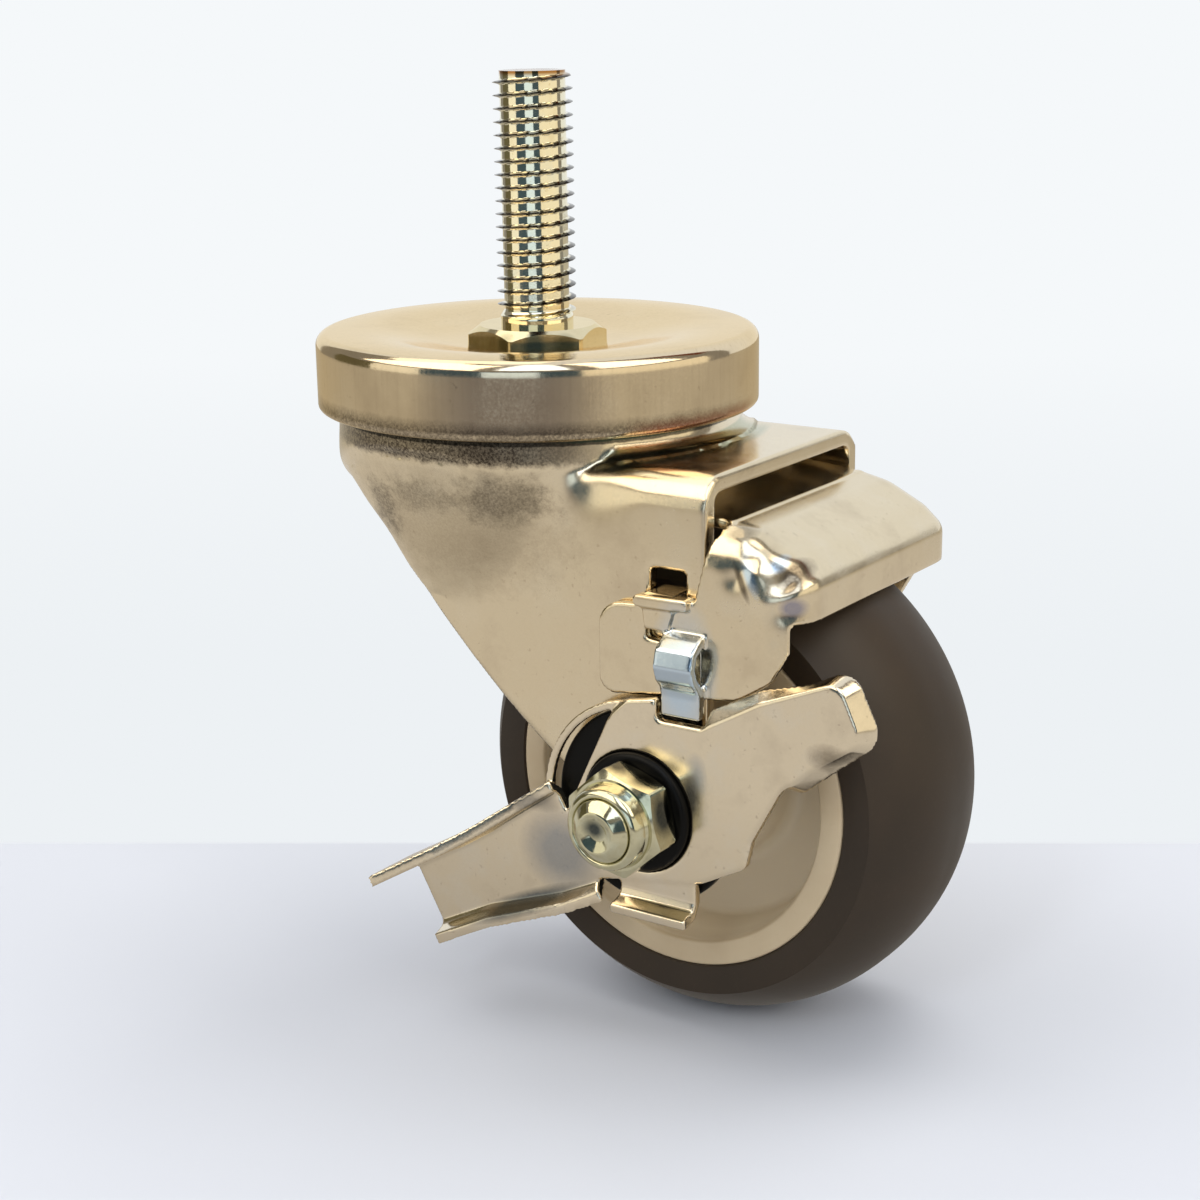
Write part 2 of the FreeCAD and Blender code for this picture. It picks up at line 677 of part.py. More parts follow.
def brake_shoe():
    """Bent sheet: crown over the tread with a rear lip, side plates outside the legs."""
    outer_y = leg_outer + shoe_gap + shoe_sheet
    inner_y = outer_y - shoe_sheet
    lip_x = 25.4
    lip_z = 30.6
    block = side_prism([(11.3, 43.0, 0), (16.0, 42.0, 8), (22.0, 39.0, 6),
                        (lip_x, 36.0, shoe_crease_radius), (lip_x, lip_z, 0), (20.6, 21.9, 3),
                        (15.8, 18.6, 3), (-7.7, 16.2, 2.5), (-7.7, 30.0, 4.0), (8.2, 31.0, 1.0)],
                       -outer_y, outer_y)
    block = block.makeFillet(shoe_edge_radius, level_edges(block, outer_y, 11.2, lip_z - 0.1))
    wall = shoe_sheet
    hollow = side_prism([(11.2, 43.0 - wall, 0), (15.7, 42.0 - wall, 8), (21.2, 39.0 - wall, 6),
                         (lip_x - wall, 36.0 - wall * 0.5, 1.2), (lip_x - wall, lip_z - 2, 0),
                         (11.2, lip_z - 2, 0)], -inner_y, inner_y)
    roof = [e for e in level_edges(hollow, inner_y, 11.1, lip_z - 2.1) if e.BoundBox.XMax > axle.x + 11.3]
    roof = [e for e in roof if e.BoundBox.ZMax > axle.z + lip_z - 1.9]
    hollow = hollow.makeFillet(shoe_edge_radius - wall, roof)
    below = side_prism([(-12, 5, 0), (lip_x + 1, 5, 0), (lip_x + 1, lip_z - 0.3, 0),
                        (lip_x - wall, lip_z - 0.1, 0), (11.3, lip_z, 0), (11.3, 44, 0), (-12, 44, 0)],
                       -inner_y, inner_y)
    nose = side_prism([(-1.0, 44.3, 0), (12.0, 43.0, 0), (12.0, 41.3, 0), (-1.0, 42.7, 0)],
                      -leg_inner + nose_gap, leg_inner - nose_gap)
    left = tab_from_axle_x - tab_width / 2
    right = left + tab_width - 1.0
    hole_foot = hole_top - hole_height
    window = side_prism([(left, 10, 0), (right, 10, 0), (right, hole_foot - 0.6, 0.5),
                         (left, hole_foot - 0.6, 0.5)], -outer_y - 1, 0)
    hole = side_prism([(neck_front - 0.2, hole_foot, 0.4), (neck_rear + 0.6, hole_foot - 0.3, 0.4),
                       (neck_rear + 0.6, hole_top - 0.3, 0.4), (neck_front - 0.2, hole_top, 0.4)],
                      -outer_y - 1, 0)
    far_corner = side_prism([(lip_x + 1, lip_z + 2.4, 0), (22.5, lip_z + 2.4, 2.0), (15.0, 20.0, 0),
                             (14.0, 15.0, 0), (lip_x + 1, 15.0, 0)], inner_y, outer_y + 1)
    shoe = block.cut(hollow).cut(below).cut(window).cut(hole).cut(far_corner)
    tongues = [shoe_tongue(-1), shoe_tongue(1)]
    return shoe.fuse([nose, near_hook(), curled_tab()] + tongues).removeSplitter()


nodes = {
    "threaded_stem": threaded_stem(),
    "swivel_cap": swivel_cap(),
    "load_balls": ball_row(load_ball_d, load_ball_circle_d, load_ball_z, load_ball_count),
    "fork": fork(),
    "thrust_balls": ball_row(thrust_ball_d, thrust_ball_circle_d, thrust_ball_z, thrust_ball_count),
    "lower_race": lower_race(),
    "axle_bolt": axle_bolt(),
    "lock_nut": lock_nut(),
    "hub_bushing": hub_bushing(),
    "head_washer": head_washer_ring(),
    "axle_sleeve": axle_sleeve(),
    "near_wheel_bush": wheel_bush(-1),
    "far_wheel_bush": wheel_bush(1),
    "near_hub_washer": hub_washer(-1),
    "far_hub_washer": hub_washer(1),
    "wheel_core": wheel_core(),
    "tyre": tyre(),
    "brake_pedal": brake_pedal(),
    "brake_shoe": brake_shoe(),
}

os.makedirs("parts", exist_ok=True)
for name, shape in nodes.items():
    shape.translate(Vector(0, 0, -collar_stand_up))
    if not shape.isValid():
        print("not valid:", name)
    print(name, len(shape.Solids), round(shape.Volume, 2))
    shape.exportStep("parts/" + name + ".step")
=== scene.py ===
import bmesh
import bpy
import math
import numpy as np
from mathutils import Matrix, Vector


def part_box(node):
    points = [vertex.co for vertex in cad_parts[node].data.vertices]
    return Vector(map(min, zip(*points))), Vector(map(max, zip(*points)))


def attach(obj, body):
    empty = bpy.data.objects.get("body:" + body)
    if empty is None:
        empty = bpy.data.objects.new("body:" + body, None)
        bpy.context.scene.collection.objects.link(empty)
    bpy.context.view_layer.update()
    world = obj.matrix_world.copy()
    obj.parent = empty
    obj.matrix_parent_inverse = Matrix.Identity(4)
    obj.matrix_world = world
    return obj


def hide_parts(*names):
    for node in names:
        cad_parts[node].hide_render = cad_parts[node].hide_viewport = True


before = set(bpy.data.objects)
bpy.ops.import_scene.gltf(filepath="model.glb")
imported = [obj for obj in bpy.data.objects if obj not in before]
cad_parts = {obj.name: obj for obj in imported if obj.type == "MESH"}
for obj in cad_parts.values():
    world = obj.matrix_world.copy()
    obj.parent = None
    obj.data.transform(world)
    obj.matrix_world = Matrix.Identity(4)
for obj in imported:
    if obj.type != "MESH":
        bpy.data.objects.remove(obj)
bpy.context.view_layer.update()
print("frame loaded")

mm = 0.001
tyreLow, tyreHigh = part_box("tyre")
axleX, axleZ = (tyreLow.x + tyreHigh.x) / 2 / mm, (tyreLow.z + tyreHigh.z) / 2 / mm
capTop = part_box("swivel_cap")[1].z / mm
floorZ = tyreLow.z
turn = 2 * math.pi


# meshes

def smoothStep(low, high, x):  # 0 below low, 1 above high, an S between
    s = np.clip((x - low) / (high - low), 0, 1)
    return s * s * (3 - 2 * s)


def gridFaces(rows, columns, wrapRows=False):  # quads between neighbours, columns always wrap
    r = np.arange(rows if wrapRows else rows - 1)
    rr, cc = np.meshgrid(r, np.arange(columns), indexing="ij")
    upR, upC = (rr + 1) % rows, (cc + 1) % columns
    return np.stack([rr * columns + cc, rr * columns + upC, upR * columns + upC, upR * columns + cc], -1).reshape(-1, 4)


def putMesh(name, points, faces, body, nodes, sharp=34):  # points in mm, merged, facing outwards
    mesh = bpy.data.meshes.new(name)
    mesh.from_pydata((np.asarray(points, float).reshape(-1, 3) * mm).tolist(), [], faces.tolist())
    work = bmesh.new()
    work.from_mesh(mesh)
    bmesh.ops.remove_doubles(work, verts=work.verts, dist=1e-6)
    bmesh.ops.recalc_face_normals(work, faces=work.faces)
    work.to_mesh(mesh)
    work.free()
    return putPiece(name, mesh, body, nodes, sharp)


def putPiece(name, mesh, body, nodes, sharp):
    mesh.shade_smooth()
    mesh.set_sharp_from_angle(angle=math.radians(sharp))
    piece = bpy.data.objects.new(name, mesh)
    bpy.context.scene.collection.objects.link(piece)
    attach(piece, body)
    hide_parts(*nodes)
    return piece


def roundedOutline(corners, step=0.25):  # (a, b, radius) corners, each radius a tangent arc
    out = []
    for i, (a, b, radius) in enumerate(corners):
        here = np.array([a, b], float)
        back = np.array(corners[i - 1][:2], float) - here
        ahead = np.array(corners[(i + 1) % len(corners)][:2], float) - here
        back, ahead = back / np.linalg.norm(back), ahead / np.linalg.norm(ahead)
        if radius <= 0:
            out.append(here[None])
            continue
        half = math.acos(np.clip(back @ ahead, -1, 1)) / 2
        middle = (back + ahead) / np.linalg.norm(back + ahead)
        sweep = math.pi / 2 - half
        t = np.linspace(-sweep, sweep, max(3, int(2 * radius * sweep / step)) + 1)[:, None]
        side = (ahead - back) / np.linalg.norm(ahead - back)
        out.append(here + middle * radius / math.sin(half) - radius * (middle * np.cos(t) - side * np.sin(t)))
    return np.concatenate(out)


def aboutAxis(radius, along, t, axis):  # cylinder coordinates about the stem (z) or the axle (y) to points
    along = along + 0 * t
    if axis == "stem":
        return np.stack([radius * np.cos(t), radius * np.sin(t), along + 0 * radius], -1)
    return np.stack([axleX + radius * np.cos(t), along + 0 * radius, axleZ + radius * np.sin(t)], -1)


def turned(name, outline, axis, body, nodes, columns=160, sharp=34):  # closed outline (radius, along) turned
    t = np.linspace(0, turn, columns, endpoint=False)[None, :]
    points = aboutAxis(outline[:, :1], outline[:, 1:], t, axis)
    return putMesh(name, points, gridFaces(len(outline), columns, True), body, nodes, sharp)


def hexBar(name, v, axis, body, nodes):
    # side radius at angle t: half the flats over the cosine of t inside its sixth, with blunt corners;
    # each chamfered end falls by the tangent of the chamfer times the reach past the chamfer's circle
    t = np.linspace(0, turn, 181)[None, :-1] + math.radians(v["turned"])
    inSixth = (t - math.radians(v["turned"]) + math.pi / 6) % (math.pi / 3) - math.pi / 6
    side = np.minimum(v["flats"] / 2 / np.cos(inSixth), v["flats"] / math.sqrt(3) * 0.985)
    circle = v["flats"] / 2 * v["circle"]
    fall = np.maximum(side - circle, 0) * math.tan(math.radians(v["chamfer"]))
    even = 0 * t
    low, high = v["low"], v["high"]
    inner = np.minimum(circle, side)
    rows = [(even + v["bore"], even + low), (inner, even + low), (side, low + fall * v["lowChamfer"]),
            (side, high - fall * v["highChamfer"]), (inner, even + high), (even + v["bore"], even + high)]
    radius, along = (np.concatenate([row[k] for row in rows]) for k in (0, 1))
    return putMesh(name, aboutAxis(radius, along, t, axis), gridFaces(len(rows), t.shape[1], True), body,
                   nodes, 12)


# threaded stem: shank, collar and headed-over pin

shankValues = {"radius": 6.1, "pitch": 25.4 / 13, "depth": 1.1, "height": 38.1, "neckTop": 2.0, "chamfer": 1.1,
               "finStart": 0.62, "columns": 120, "rowStep": 0.11}


def threadedShank(v):
    # radius at angle t and height z: crest less depth times a pointed wave of z/pitch - t/turn,
    # faded out in the plain neck and cut by the cone at the top
    z = np.arange(0, v["height"] + 1e-6, v["rowStep"])[:, None]
    t = np.linspace(0, turn, v["columns"], endpoint=False)[None, :]
    wave = np.abs(2 * ((z / v["pitch"] - t / turn) % 1) - 1)
    tooth = smoothStep(v["finStart"], 1.0, wave)
    threaded = smoothStep(v["neckTop"] - 0.9, v["neckTop"] + 0.5, z)
    radius = v["radius"] - v["depth"] * (1 - tooth) * threaded - 0.5 * (1 - threaded)
    radius = np.minimum(radius, v["radius"] - np.maximum(z - v["height"] + v["chamfer"], 0))
    height = z + 0 * t
    for share, drop in ((0.9, 0.0), (0.45, 0.12), (0.0, 0.15)):
        radius = np.concatenate([radius, radius[-1:] * share])
        height = np.concatenate([height, height[-1:] * 0 + v["height"] - drop])
    radius = np.concatenate([radius[:1] * 0, radius])
    height = np.concatenate([height[:1] * 0, height])
    points = aboutAxis(radius, height, t, "stem")
    return putMesh("threadedShank", points, gridFaces(len(radius), v["columns"]), "stem_and_cap",
                   ["threaded_stem"], 50)


dish = 2.0  # the cap's face sinks by this much under the collar
collarValues = {"flats": 19.0, "low": capTop - dish, "high": 0.0, "bore": 4.0, "circle": 0.94, "chamfer": 36,
                "lowChamfer": 0, "highChamfer": 1, "turned": 13}

shank = threadedShank(shankValues)
collar = hexBar("hexCollar", collarValues, "stem", "stem_and_cap", ["threaded_stem"])
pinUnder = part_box("lower_race")[0].z / mm
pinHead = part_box("threaded_stem")[0].z / mm
kingpin = turned("headedPin", roundedOutline([
    (0, capTop - dish, 0), (5.5, capTop - dish, 0), (5.5, pinUnder, 0), (9.0, pinUnder, 0.5), (9.0, pinHead + 0.4, 1.2),
    (3.2, pinHead, 1.5), (0, pinHead + 0.7, 0)]), "stem", "stem_and_cap", ["threaded_stem"])
print("stem made")


# swivel cap

cap = turned("swivelCap", roundedOutline([
    (5.5, capTop - dish, 0), (14, capTop - dish, 40), (26, capTop, 40), (34.2, capTop - 0.12, 1.9),
    (34.2, capTop - 2.6, 0), (34.2, capTop - 3.4, 0), (34.2, capTop - 9.6, 0), (34.2, capTop - 10.4, 0),
    (34.2, capTop - 11.7, 0.8), (31.8, capTop - 11.7, 0.6), (31.8, capTop - 2.4, 0.8), (26, capTop - 2.4, 40),
    (14, capTop - dish - 2.4, 40), (5.5, capTop - dish - 2.4, 0)], 0.3),
    "stem", "stem_and_cap", ["swivel_cap"], 256)
print("cap made")


# wheel

tyreValues = {"radius": 38.1, "halfWidth": 15.9, "crown": 6.0, "power": 2.5, "seat": 27.7, "seatHalf": 15.6,
              "rows": 96}


def treadOutline(v):
    # radius over the width: full radius less crown times (side distance over half width) to a power,
    # then a slightly bulging side wall down to the core's rim
    s = np.linspace(-1, 1, v["rows"])
    y = np.sign(s) * np.abs(s) ** 0.7 * v["halfWidth"]
    tread = np.stack([v["radius"] - v["crown"] * np.abs(y / v["halfWidth"]) ** v["power"], y], -1)
    drop = np.linspace(0, 1, 8)[1:, None]
    wall = tread[-1] + drop * (np.array([v["seat"] + 0.25, v["seatHalf"]]) - tread[-1])
    wall[:, 1] += 0.12 * np.sin(math.pi * drop[:, 0])
    foot = np.array([[v["seat"], v["seatHalf"] - 0.25]])
    back = np.concatenate([wall, foot]) * [1, -1]
    return np.concatenate([tread, wall, foot, back[::-1]])


tread = turned("tread", treadOutline(tyreValues), "axle", "wheel", ["tyre"], 256, 28)

half = 15.6
core = turned("wheelCore", roundedOutline([
    (27.7, -half, 0.5), (27.7, half, 0.5), (24.1, half, 0.5), (23.7, half - 0.9, 0.4), (22.9, 6.0, 1.5),
    (13.6, 3.5, 2.0), (12.3, 16.5, 0.6), (12.0, 18.0, 0.5), (9.0, 18.0, 0.3),
    (9.0, -18.0, 0.3), (12.0, -18.0, 0.5), (12.3, -16.5, 0.6), (13.6, -3.5, 2.0), (22.9, -6.0, 1.5),
    (23.7, -half + 0.9, 0.4), (24.1, -half, 0.5)]), "axle", "wheel", ["wheel_core"], 192)
print("wheel made")


# axle hardware

legOuter = -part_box("hub_bushing")[1].y / mm
nutFoot = -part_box("lock_nut")[1].y / mm
nutTop = -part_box("lock_nut")[0].y / mm
boltEnd = -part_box("axle_bolt")[0].y / mm
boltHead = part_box("axle_bolt")[1].y / mm
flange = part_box("hub_bushing")[1].z / mm - axleZ

bushing = turned("hubBushing", roundedOutline([
    (4.75, -legOuter, 0), (flange, -legOuter, 0.4), (flange, -legOuter - 2.0, 0.5), (9.02, -legOuter - 2.0, 0),
    (9.02, -nutFoot, 0.9), (4.75, -nutFoot, 0)]), "axle", "fork_assembly", ["hub_bushing"])

nutValues = {"flats": 14.3, "low": -nutFoot - 5.4, "high": -nutFoot, "bore": 4.75, "circle": 0.96, "chamfer": 30,
             "lowChamfer": 1, "highChamfer": 1, "turned": 12}
nut = hexBar("hexNut", nutValues, "axle", "fork_assembly", ["lock_nut"])
nutDome = turned("nutDome", roundedOutline([
    (4.75, -nutFoot - 5.0, 0), (6.6, -nutFoot - 5.0, 0), (6.3, -nutFoot - 6.2, 0.5), (6.0, -nutTop + 0.4, 1.3),
    (5.0, -nutTop, 0.4), (4.75, -nutTop + 0.5, 0)]), "axle", "fork_assembly", ["lock_nut"])
shaft = turned("axleShank", roundedOutline([
    (0, -boltEnd + 0.9, 0), (1.3, -boltEnd + 0.8, 1.0), (3.0, -boltEnd, 0.6), (4.1, -boltEnd + 1.0, 0.5),
    (4.7, -boltEnd + 1.5, 0.4),
    (4.7, boltHead - 5.6, 0), (0, boltHead - 5.6, 0)]), "axle", "fork_assembly", ["axle_bolt"])
headValues = dict(nutValues, low=boltHead - 5.6, high=boltHead, bore=0.01, lowChamfer=0, highChamfer=1, turned=20)
head = hexBar("boltHead", headValues, "axle", "fork_assembly", ["axle_bolt"])
print("hardware made")


# pressed sheet pieces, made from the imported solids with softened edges

forkValues = {"node": "fork", "body": "fork_assembly", "slot": "zinc_sheet", "voxel": 0.5, "rounds": 3,
              "blendRounds": 120}
shoeValues = {"node": "brake_shoe", "body": "shoe", "slot": "zinc_sheet", "voxel": 0.36, "rounds": 3}
pedalValues = {"node": "brake_pedal", "body": "pedal", "slot": "zinc_sheet", "voxel": 0.32, "rounds": 3}


def drumMoves(p):
    # the drum's wall reaches lower at the front and less low beside the legs: its foot sinks by a straight
    # line of the angle from the front, within limits, the wall swells a little at the front, and the thin
    # tip of its rim is pushed up to an even edge
    x, y, z = p.T
    down = capTop - z
    angle = np.degrees(np.abs(np.arctan2(y, -x)))
    sink = np.clip((62 - angle) * 0.16, -2.4, 4.8) * smoothStep(112, 96, angle)
    outside = smoothStep(23.0, 25.5, np.hypot(x, y))
    foot = smoothStep(12.9, 17.9, down) * smoothStep(34.0, 22.0, down)
    swell = 1 + 0.012 * smoothStep(65, 45, angle) * outside * smoothStep(12.5, 17.0, down)
    tip = 0.9 * np.maximum(down - 20.0, 0) * smoothStep(54, 48, angle) * outside
    return np.stack([x * swell, y * swell, z + tip - sink * outside * foot], -1)


dartDents = [  # the pressed dart across the shoe's bend: x and z from the axle, radius, depth
    (14.9, 36.4, 1.7, 0.45), (18.3, 37.4, 1.7, -0.3), (21.8, 36.6, 1.8, 0.75), (24.9, 34.8, 1.5, -0.25),
    (22.9, 32.4, 1.7, 0.5), (19.4, 33.4, 1.5, -0.2), (14.5, 41.5, 2.2, -0.3)]


coveValues = {"wall": 31.0, "deckDepth": 14.95, "radius": 2.6}


def coveMoves(p):
    # the corner between the drum's wall and the deck becomes a quarter arc: out from the wall by the radius
    # times (1 - sine), up from the deck by the radius times (1 - cosine) of an angle that runs up the corner
    x, y, z = p.T
    v = coveValues
    away = np.hypot(x, y)
    out, up = away - v["wall"], z - capTop + v["deckDepth"]
    near = (np.minimum(out, up) > -0.5) & (np.maximum(out, up) < v["radius"])
    weight = near * smoothStep(39, 33, np.degrees(np.abs(np.arctan2(y, x))))
    a = (np.clip((up - out) / v["radius"], -1, 1) + 1) * math.pi / 4
    shift = weight * (v["radius"] * (1 - np.sin(a)) - out) / away
    return np.stack([x + x * shift, y + y * shift, z + weight * (v["radius"] * (1 - np.cos(a)) - up)], -1)


def dartMoves(p):
    # each dent pushes the near bend in along the slope between -y and z: depth times a bell over the distance
    # in the x, z plane, only where the sheet bends between the side plate and the crown
    x, y, z = p.T
    depth = 0 * x
    for dentX, dentZ, reach, amount in dartDents:
        away = np.hypot(x - axleX - dentX, z - axleZ - dentZ) / reach
        depth = depth + amount * np.exp(-1.2 * away ** 2)
    near = smoothStep(-17.0, -20.0, y) * smoothStep(10.0, 12.5, x - axleX) * smoothStep(28.0, 30.5, z - axleZ)
    return np.stack([x, y + 0.7 * depth * near, z - 0.7 * depth * near], -1)


def relaxed(points, edges, weight, rounds):  # each point moves to the mean of its neighbours by its weight
    used = weight[edges].max(1) > 0
    a, b = edges[used].T
    count = np.maximum(np.bincount(a, minlength=len(points)) + np.bincount(b, minlength=len(points)), 1)
    for _ in range(rounds):
        total = np.stack([np.bincount(a, points[b, k], len(points)) + np.bincount(b, points[a, k], len(points))
                          for k in range(3)], -1)
        points = points + weight[:, None] * (total / count[:, None] - points)
    return points


def forkBlend(p):  # near 1 where the drum's flare runs over into the legs, 0 within 3 mm of the legs' front edge,
    # and a little along the drum's lower rim
    x, y, z = p.T
    down = capTop - z
    inside = (x + 17.1) * 0.829 - (down - 23.25) * 0.56
    side = smoothStep(17.5, 20.0, np.abs(y)) * smoothStep(3.0, 7.0, inside) * smoothStep(34.0, 22.0, x)
    side = side * smoothStep(44.0, 38.0, down) * smoothStep(16.4, 18.4, down)
    angle = np.degrees(np.abs(np.arctan2(y, -x)))
    rim = smoothStep(70, 60, angle) * smoothStep(19.0, 22.0, down) * smoothStep(38.0, 30.0, down)
    return np.maximum(0.8 * side, 0.08 * rim)


def pressedSheet(name, v, moves=(), blend=None):
    # an even skin drawn over the solid, laid back on its faces, then relaxed so that each edge rounds
    # over; each move then shifts the points by a formula of their place
    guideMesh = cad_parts[v["node"]].data.copy()
    work = bmesh.new()
    work.from_mesh(guideMesh)
    bmesh.ops.remove_doubles(work, verts=work.verts, dist=1e-6)
    work.to_mesh(guideMesh)
    work.free()
    guide = bpy.data.objects.new(name + "Guide", guideMesh)
    skin = bpy.data.objects.new(name + "Skin", guideMesh)
    for made in (guide, skin):
        bpy.context.scene.collection.objects.link(made)
    even = skin.modifiers.new("even", "REMESH")
    even.mode = "VOXEL"
    even.voxel_size = v["voxel"] * mm
    laid = skin.modifiers.new("laid", "SHRINKWRAP")
    laid.target = guide
    laid.wrap_method = "NEAREST_SURFACEPOINT"
    eased = skin.modifiers.new("eased", "SMOOTH")
    eased.factor = 0.5
    eased.iterations = v["rounds"]
    bpy.context.view_layer.update()
    ready = skin.evaluated_get(bpy.context.evaluated_depsgraph_get())
    mesh = bpy.data.meshes.new_from_object(ready)
    mesh.name = name
    for made in (guide, skin):
        bpy.data.objects.remove(made)
    points = np.empty(len(mesh.vertices) * 3, np.float32)
    mesh.vertices.foreach_get("co", points)
    points = points.reshape(-1, 3) / mm
    for move in moves:
        points = move(points)
    if blend:
        edges = np.empty(len(mesh.edges) * 2, np.int32)
        mesh.edges.foreach_get("vertices", edges)
        points = relaxed(points, edges.reshape(-1, 2), blend(points), v["blendRounds"])
    mesh.vertices.foreach_set("co", (points * mm).ravel().astype(np.float32))
    mesh.update()
    mesh.materials.clear()
    return putPiece(name, mesh, v["body"], [v["node"]], 60)


fork = pressedSheet("forkPressing", forkValues, [drumMoves, coveMoves], forkBlend)
shoe = pressedSheet("brakeShoe", shoeValues, [dartMoves])
pedal = pressedSheet("brakePedal", pedalValues)
print("sheet pieces made", len(fork.data.polygons), len(shoe.data.polygons), len(pedal.data.polygons))


# node helpers

def addNode(tree, kind, inputs=(), **settings):
    made = tree.nodes.new(kind)
    for key, value in settings.items():
        setattr(made, key, value)
    for key, value in dict(inputs).items():
        if isinstance(value, bpy.types.NodeSocket):
            tree.links.new(value, made.inputs[key])
        else:
            made.inputs[key].default_value = value
    return made


def newGroup(name, inputs, outputs):  # a shader node group with named sockets
    tree = bpy.data.node_groups.new(name, "ShaderNodeTree")
    for label, kind, value in inputs:
        socket = tree.interface.new_socket(label, in_out="INPUT", socket_type="NodeSocket" + kind)
        if kind != "Vector":
            socket.default_value = value
    for label, kind in outputs:
        tree.interface.new_socket(label, in_out="OUTPUT", socket_type="NodeSocket" + kind)
    return tree, tree.nodes.new("NodeGroupInput").outputs, tree.nodes.new("NodeGroupOutput").inputs


def useGroup(tree, group, inputs):
    made = tree.nodes.new("ShaderNodeGroup")
    made.node_tree = group
    for key, value in inputs.items():
        if isinstance(value, bpy.types.NodeSocket):
            tree.links.new(value, made.inputs[key])
        else:
            made.inputs[key].default_value = value
    return made.outputs


def mathNode(tree, operation, a, b=0.0, clamp=False):
    return addNode(tree, "ShaderNodeMath", {0: a, 1: b}, operation=operation, use_clamp=clamp).outputs[0]


def mapRange(tree, value, low, high, toLow=0.0, toHigh=1.0):
    return addNode(tree, "ShaderNodeMapRange", {"Value": value, "From Min": low, "From Max": high,
                                                "To Min": toLow, "To Max": toHigh}, clamp=True).outputs[0]


def mixColour(tree, factor, a, b, blend="MIX"):
    made = addNode(tree, "ShaderNodeMix", {}, data_type="RGBA", blend_type=blend)
    for socket, value in ((made.inputs[0], factor), (made.inputs[6], a), (made.inputs[7], b)):
        if isinstance(value, bpy.types.NodeSocket):
            tree.links.new(value, socket)
        else:
            socket.default_value = value
    return made.outputs[2]


def noise(tree, vector, scale, detail=3.0, roughness=0.5):
    return addNode(tree, "ShaderNodeTexNoise", {"Vector": vector, "Scale": scale, "Detail": detail,
                                                "Roughness": roughness}).outputs["Fac"]


def rgb(r, g, b):  # a screen colour of 0 to 255 to the linear value that a socket takes
    c = np.array([r, g, b], float) / 255
    c = np.where(c <= 0.04045, c / 12.92, ((c + 0.055) / 1.055) ** 2.4)
    return (*c.tolist(), 1.0)


# shared effects

def makePlatingGroup():  # crystal patches and fine pitting of a zinc skin: colour, roughness, height
    tree, given, out = newGroup("platingSkin", [
        ("Vector", "Vector", None), ("Main", "Color", (0.7, 0.65, 0.55, 1)), ("Pale", "Color", (0.8, 0.8, 0.8, 1)),
        ("Deep", "Color", (0.3, 0.25, 0.2, 1)), ("Patch Size", "Float", 0.008), ("Patches", "Float", 0.5),
        ("Gloss", "Float", 0.25), ("Rough", "Float", 0.4)],
        [("Color", "Color"), ("Roughness", "Float"), ("Height", "Float")])
    perMetre = mathNode(tree, "DIVIDE", 1.0, given["Patch Size"])
    cloud = noise(tree, given["Vector"], perMetre, 4.0, 0.6)
    fine = noise(tree, given["Vector"], 2600.0, 3.0, 0.65)
    speck = noise(tree, given["Vector"], 900.0, 2.0, 0.7)
    pale = mathNode(tree, "MULTIPLY", mapRange(tree, cloud, 0.5, 0.72), given["Patches"])
    deep = mathNode(tree, "MULTIPLY", mapRange(tree, cloud, 0.46, 0.28), given["Patches"])
    colour = mixColour(tree, pale, given["Main"], given["Pale"])
    colour = mixColour(tree, mathNode(tree, "MULTIPLY", deep, 0.6), colour, given["Deep"])
    pits = mapRange(tree, speck, 0.66, 0.76)
    colour = mixColour(tree, mathNode(tree, "MULTIPLY", pits, 0.3), colour, given["Deep"])
    tree.links.new(colour, out["Color"])
    spread = mathNode(tree, "SUBTRACT", given["Rough"], given["Gloss"])
    shade = mathNode(tree, "MULTIPLY", mapRange(tree, cloud, 0.35, 0.65), spread)
    shade = mathNode(tree, "ADD", shade, given["Gloss"])
    tree.links.new(mathNode(tree, "ADD", shade, mapRange(tree, fine, 0.3, 0.7, -0.04, 0.05)), out["Roughness"])
    tree.links.new(mathNode(tree, "SUBTRACT", mathNode(tree, "MULTIPLY", fine, 0.5), pits), out["Height"])
    return tree


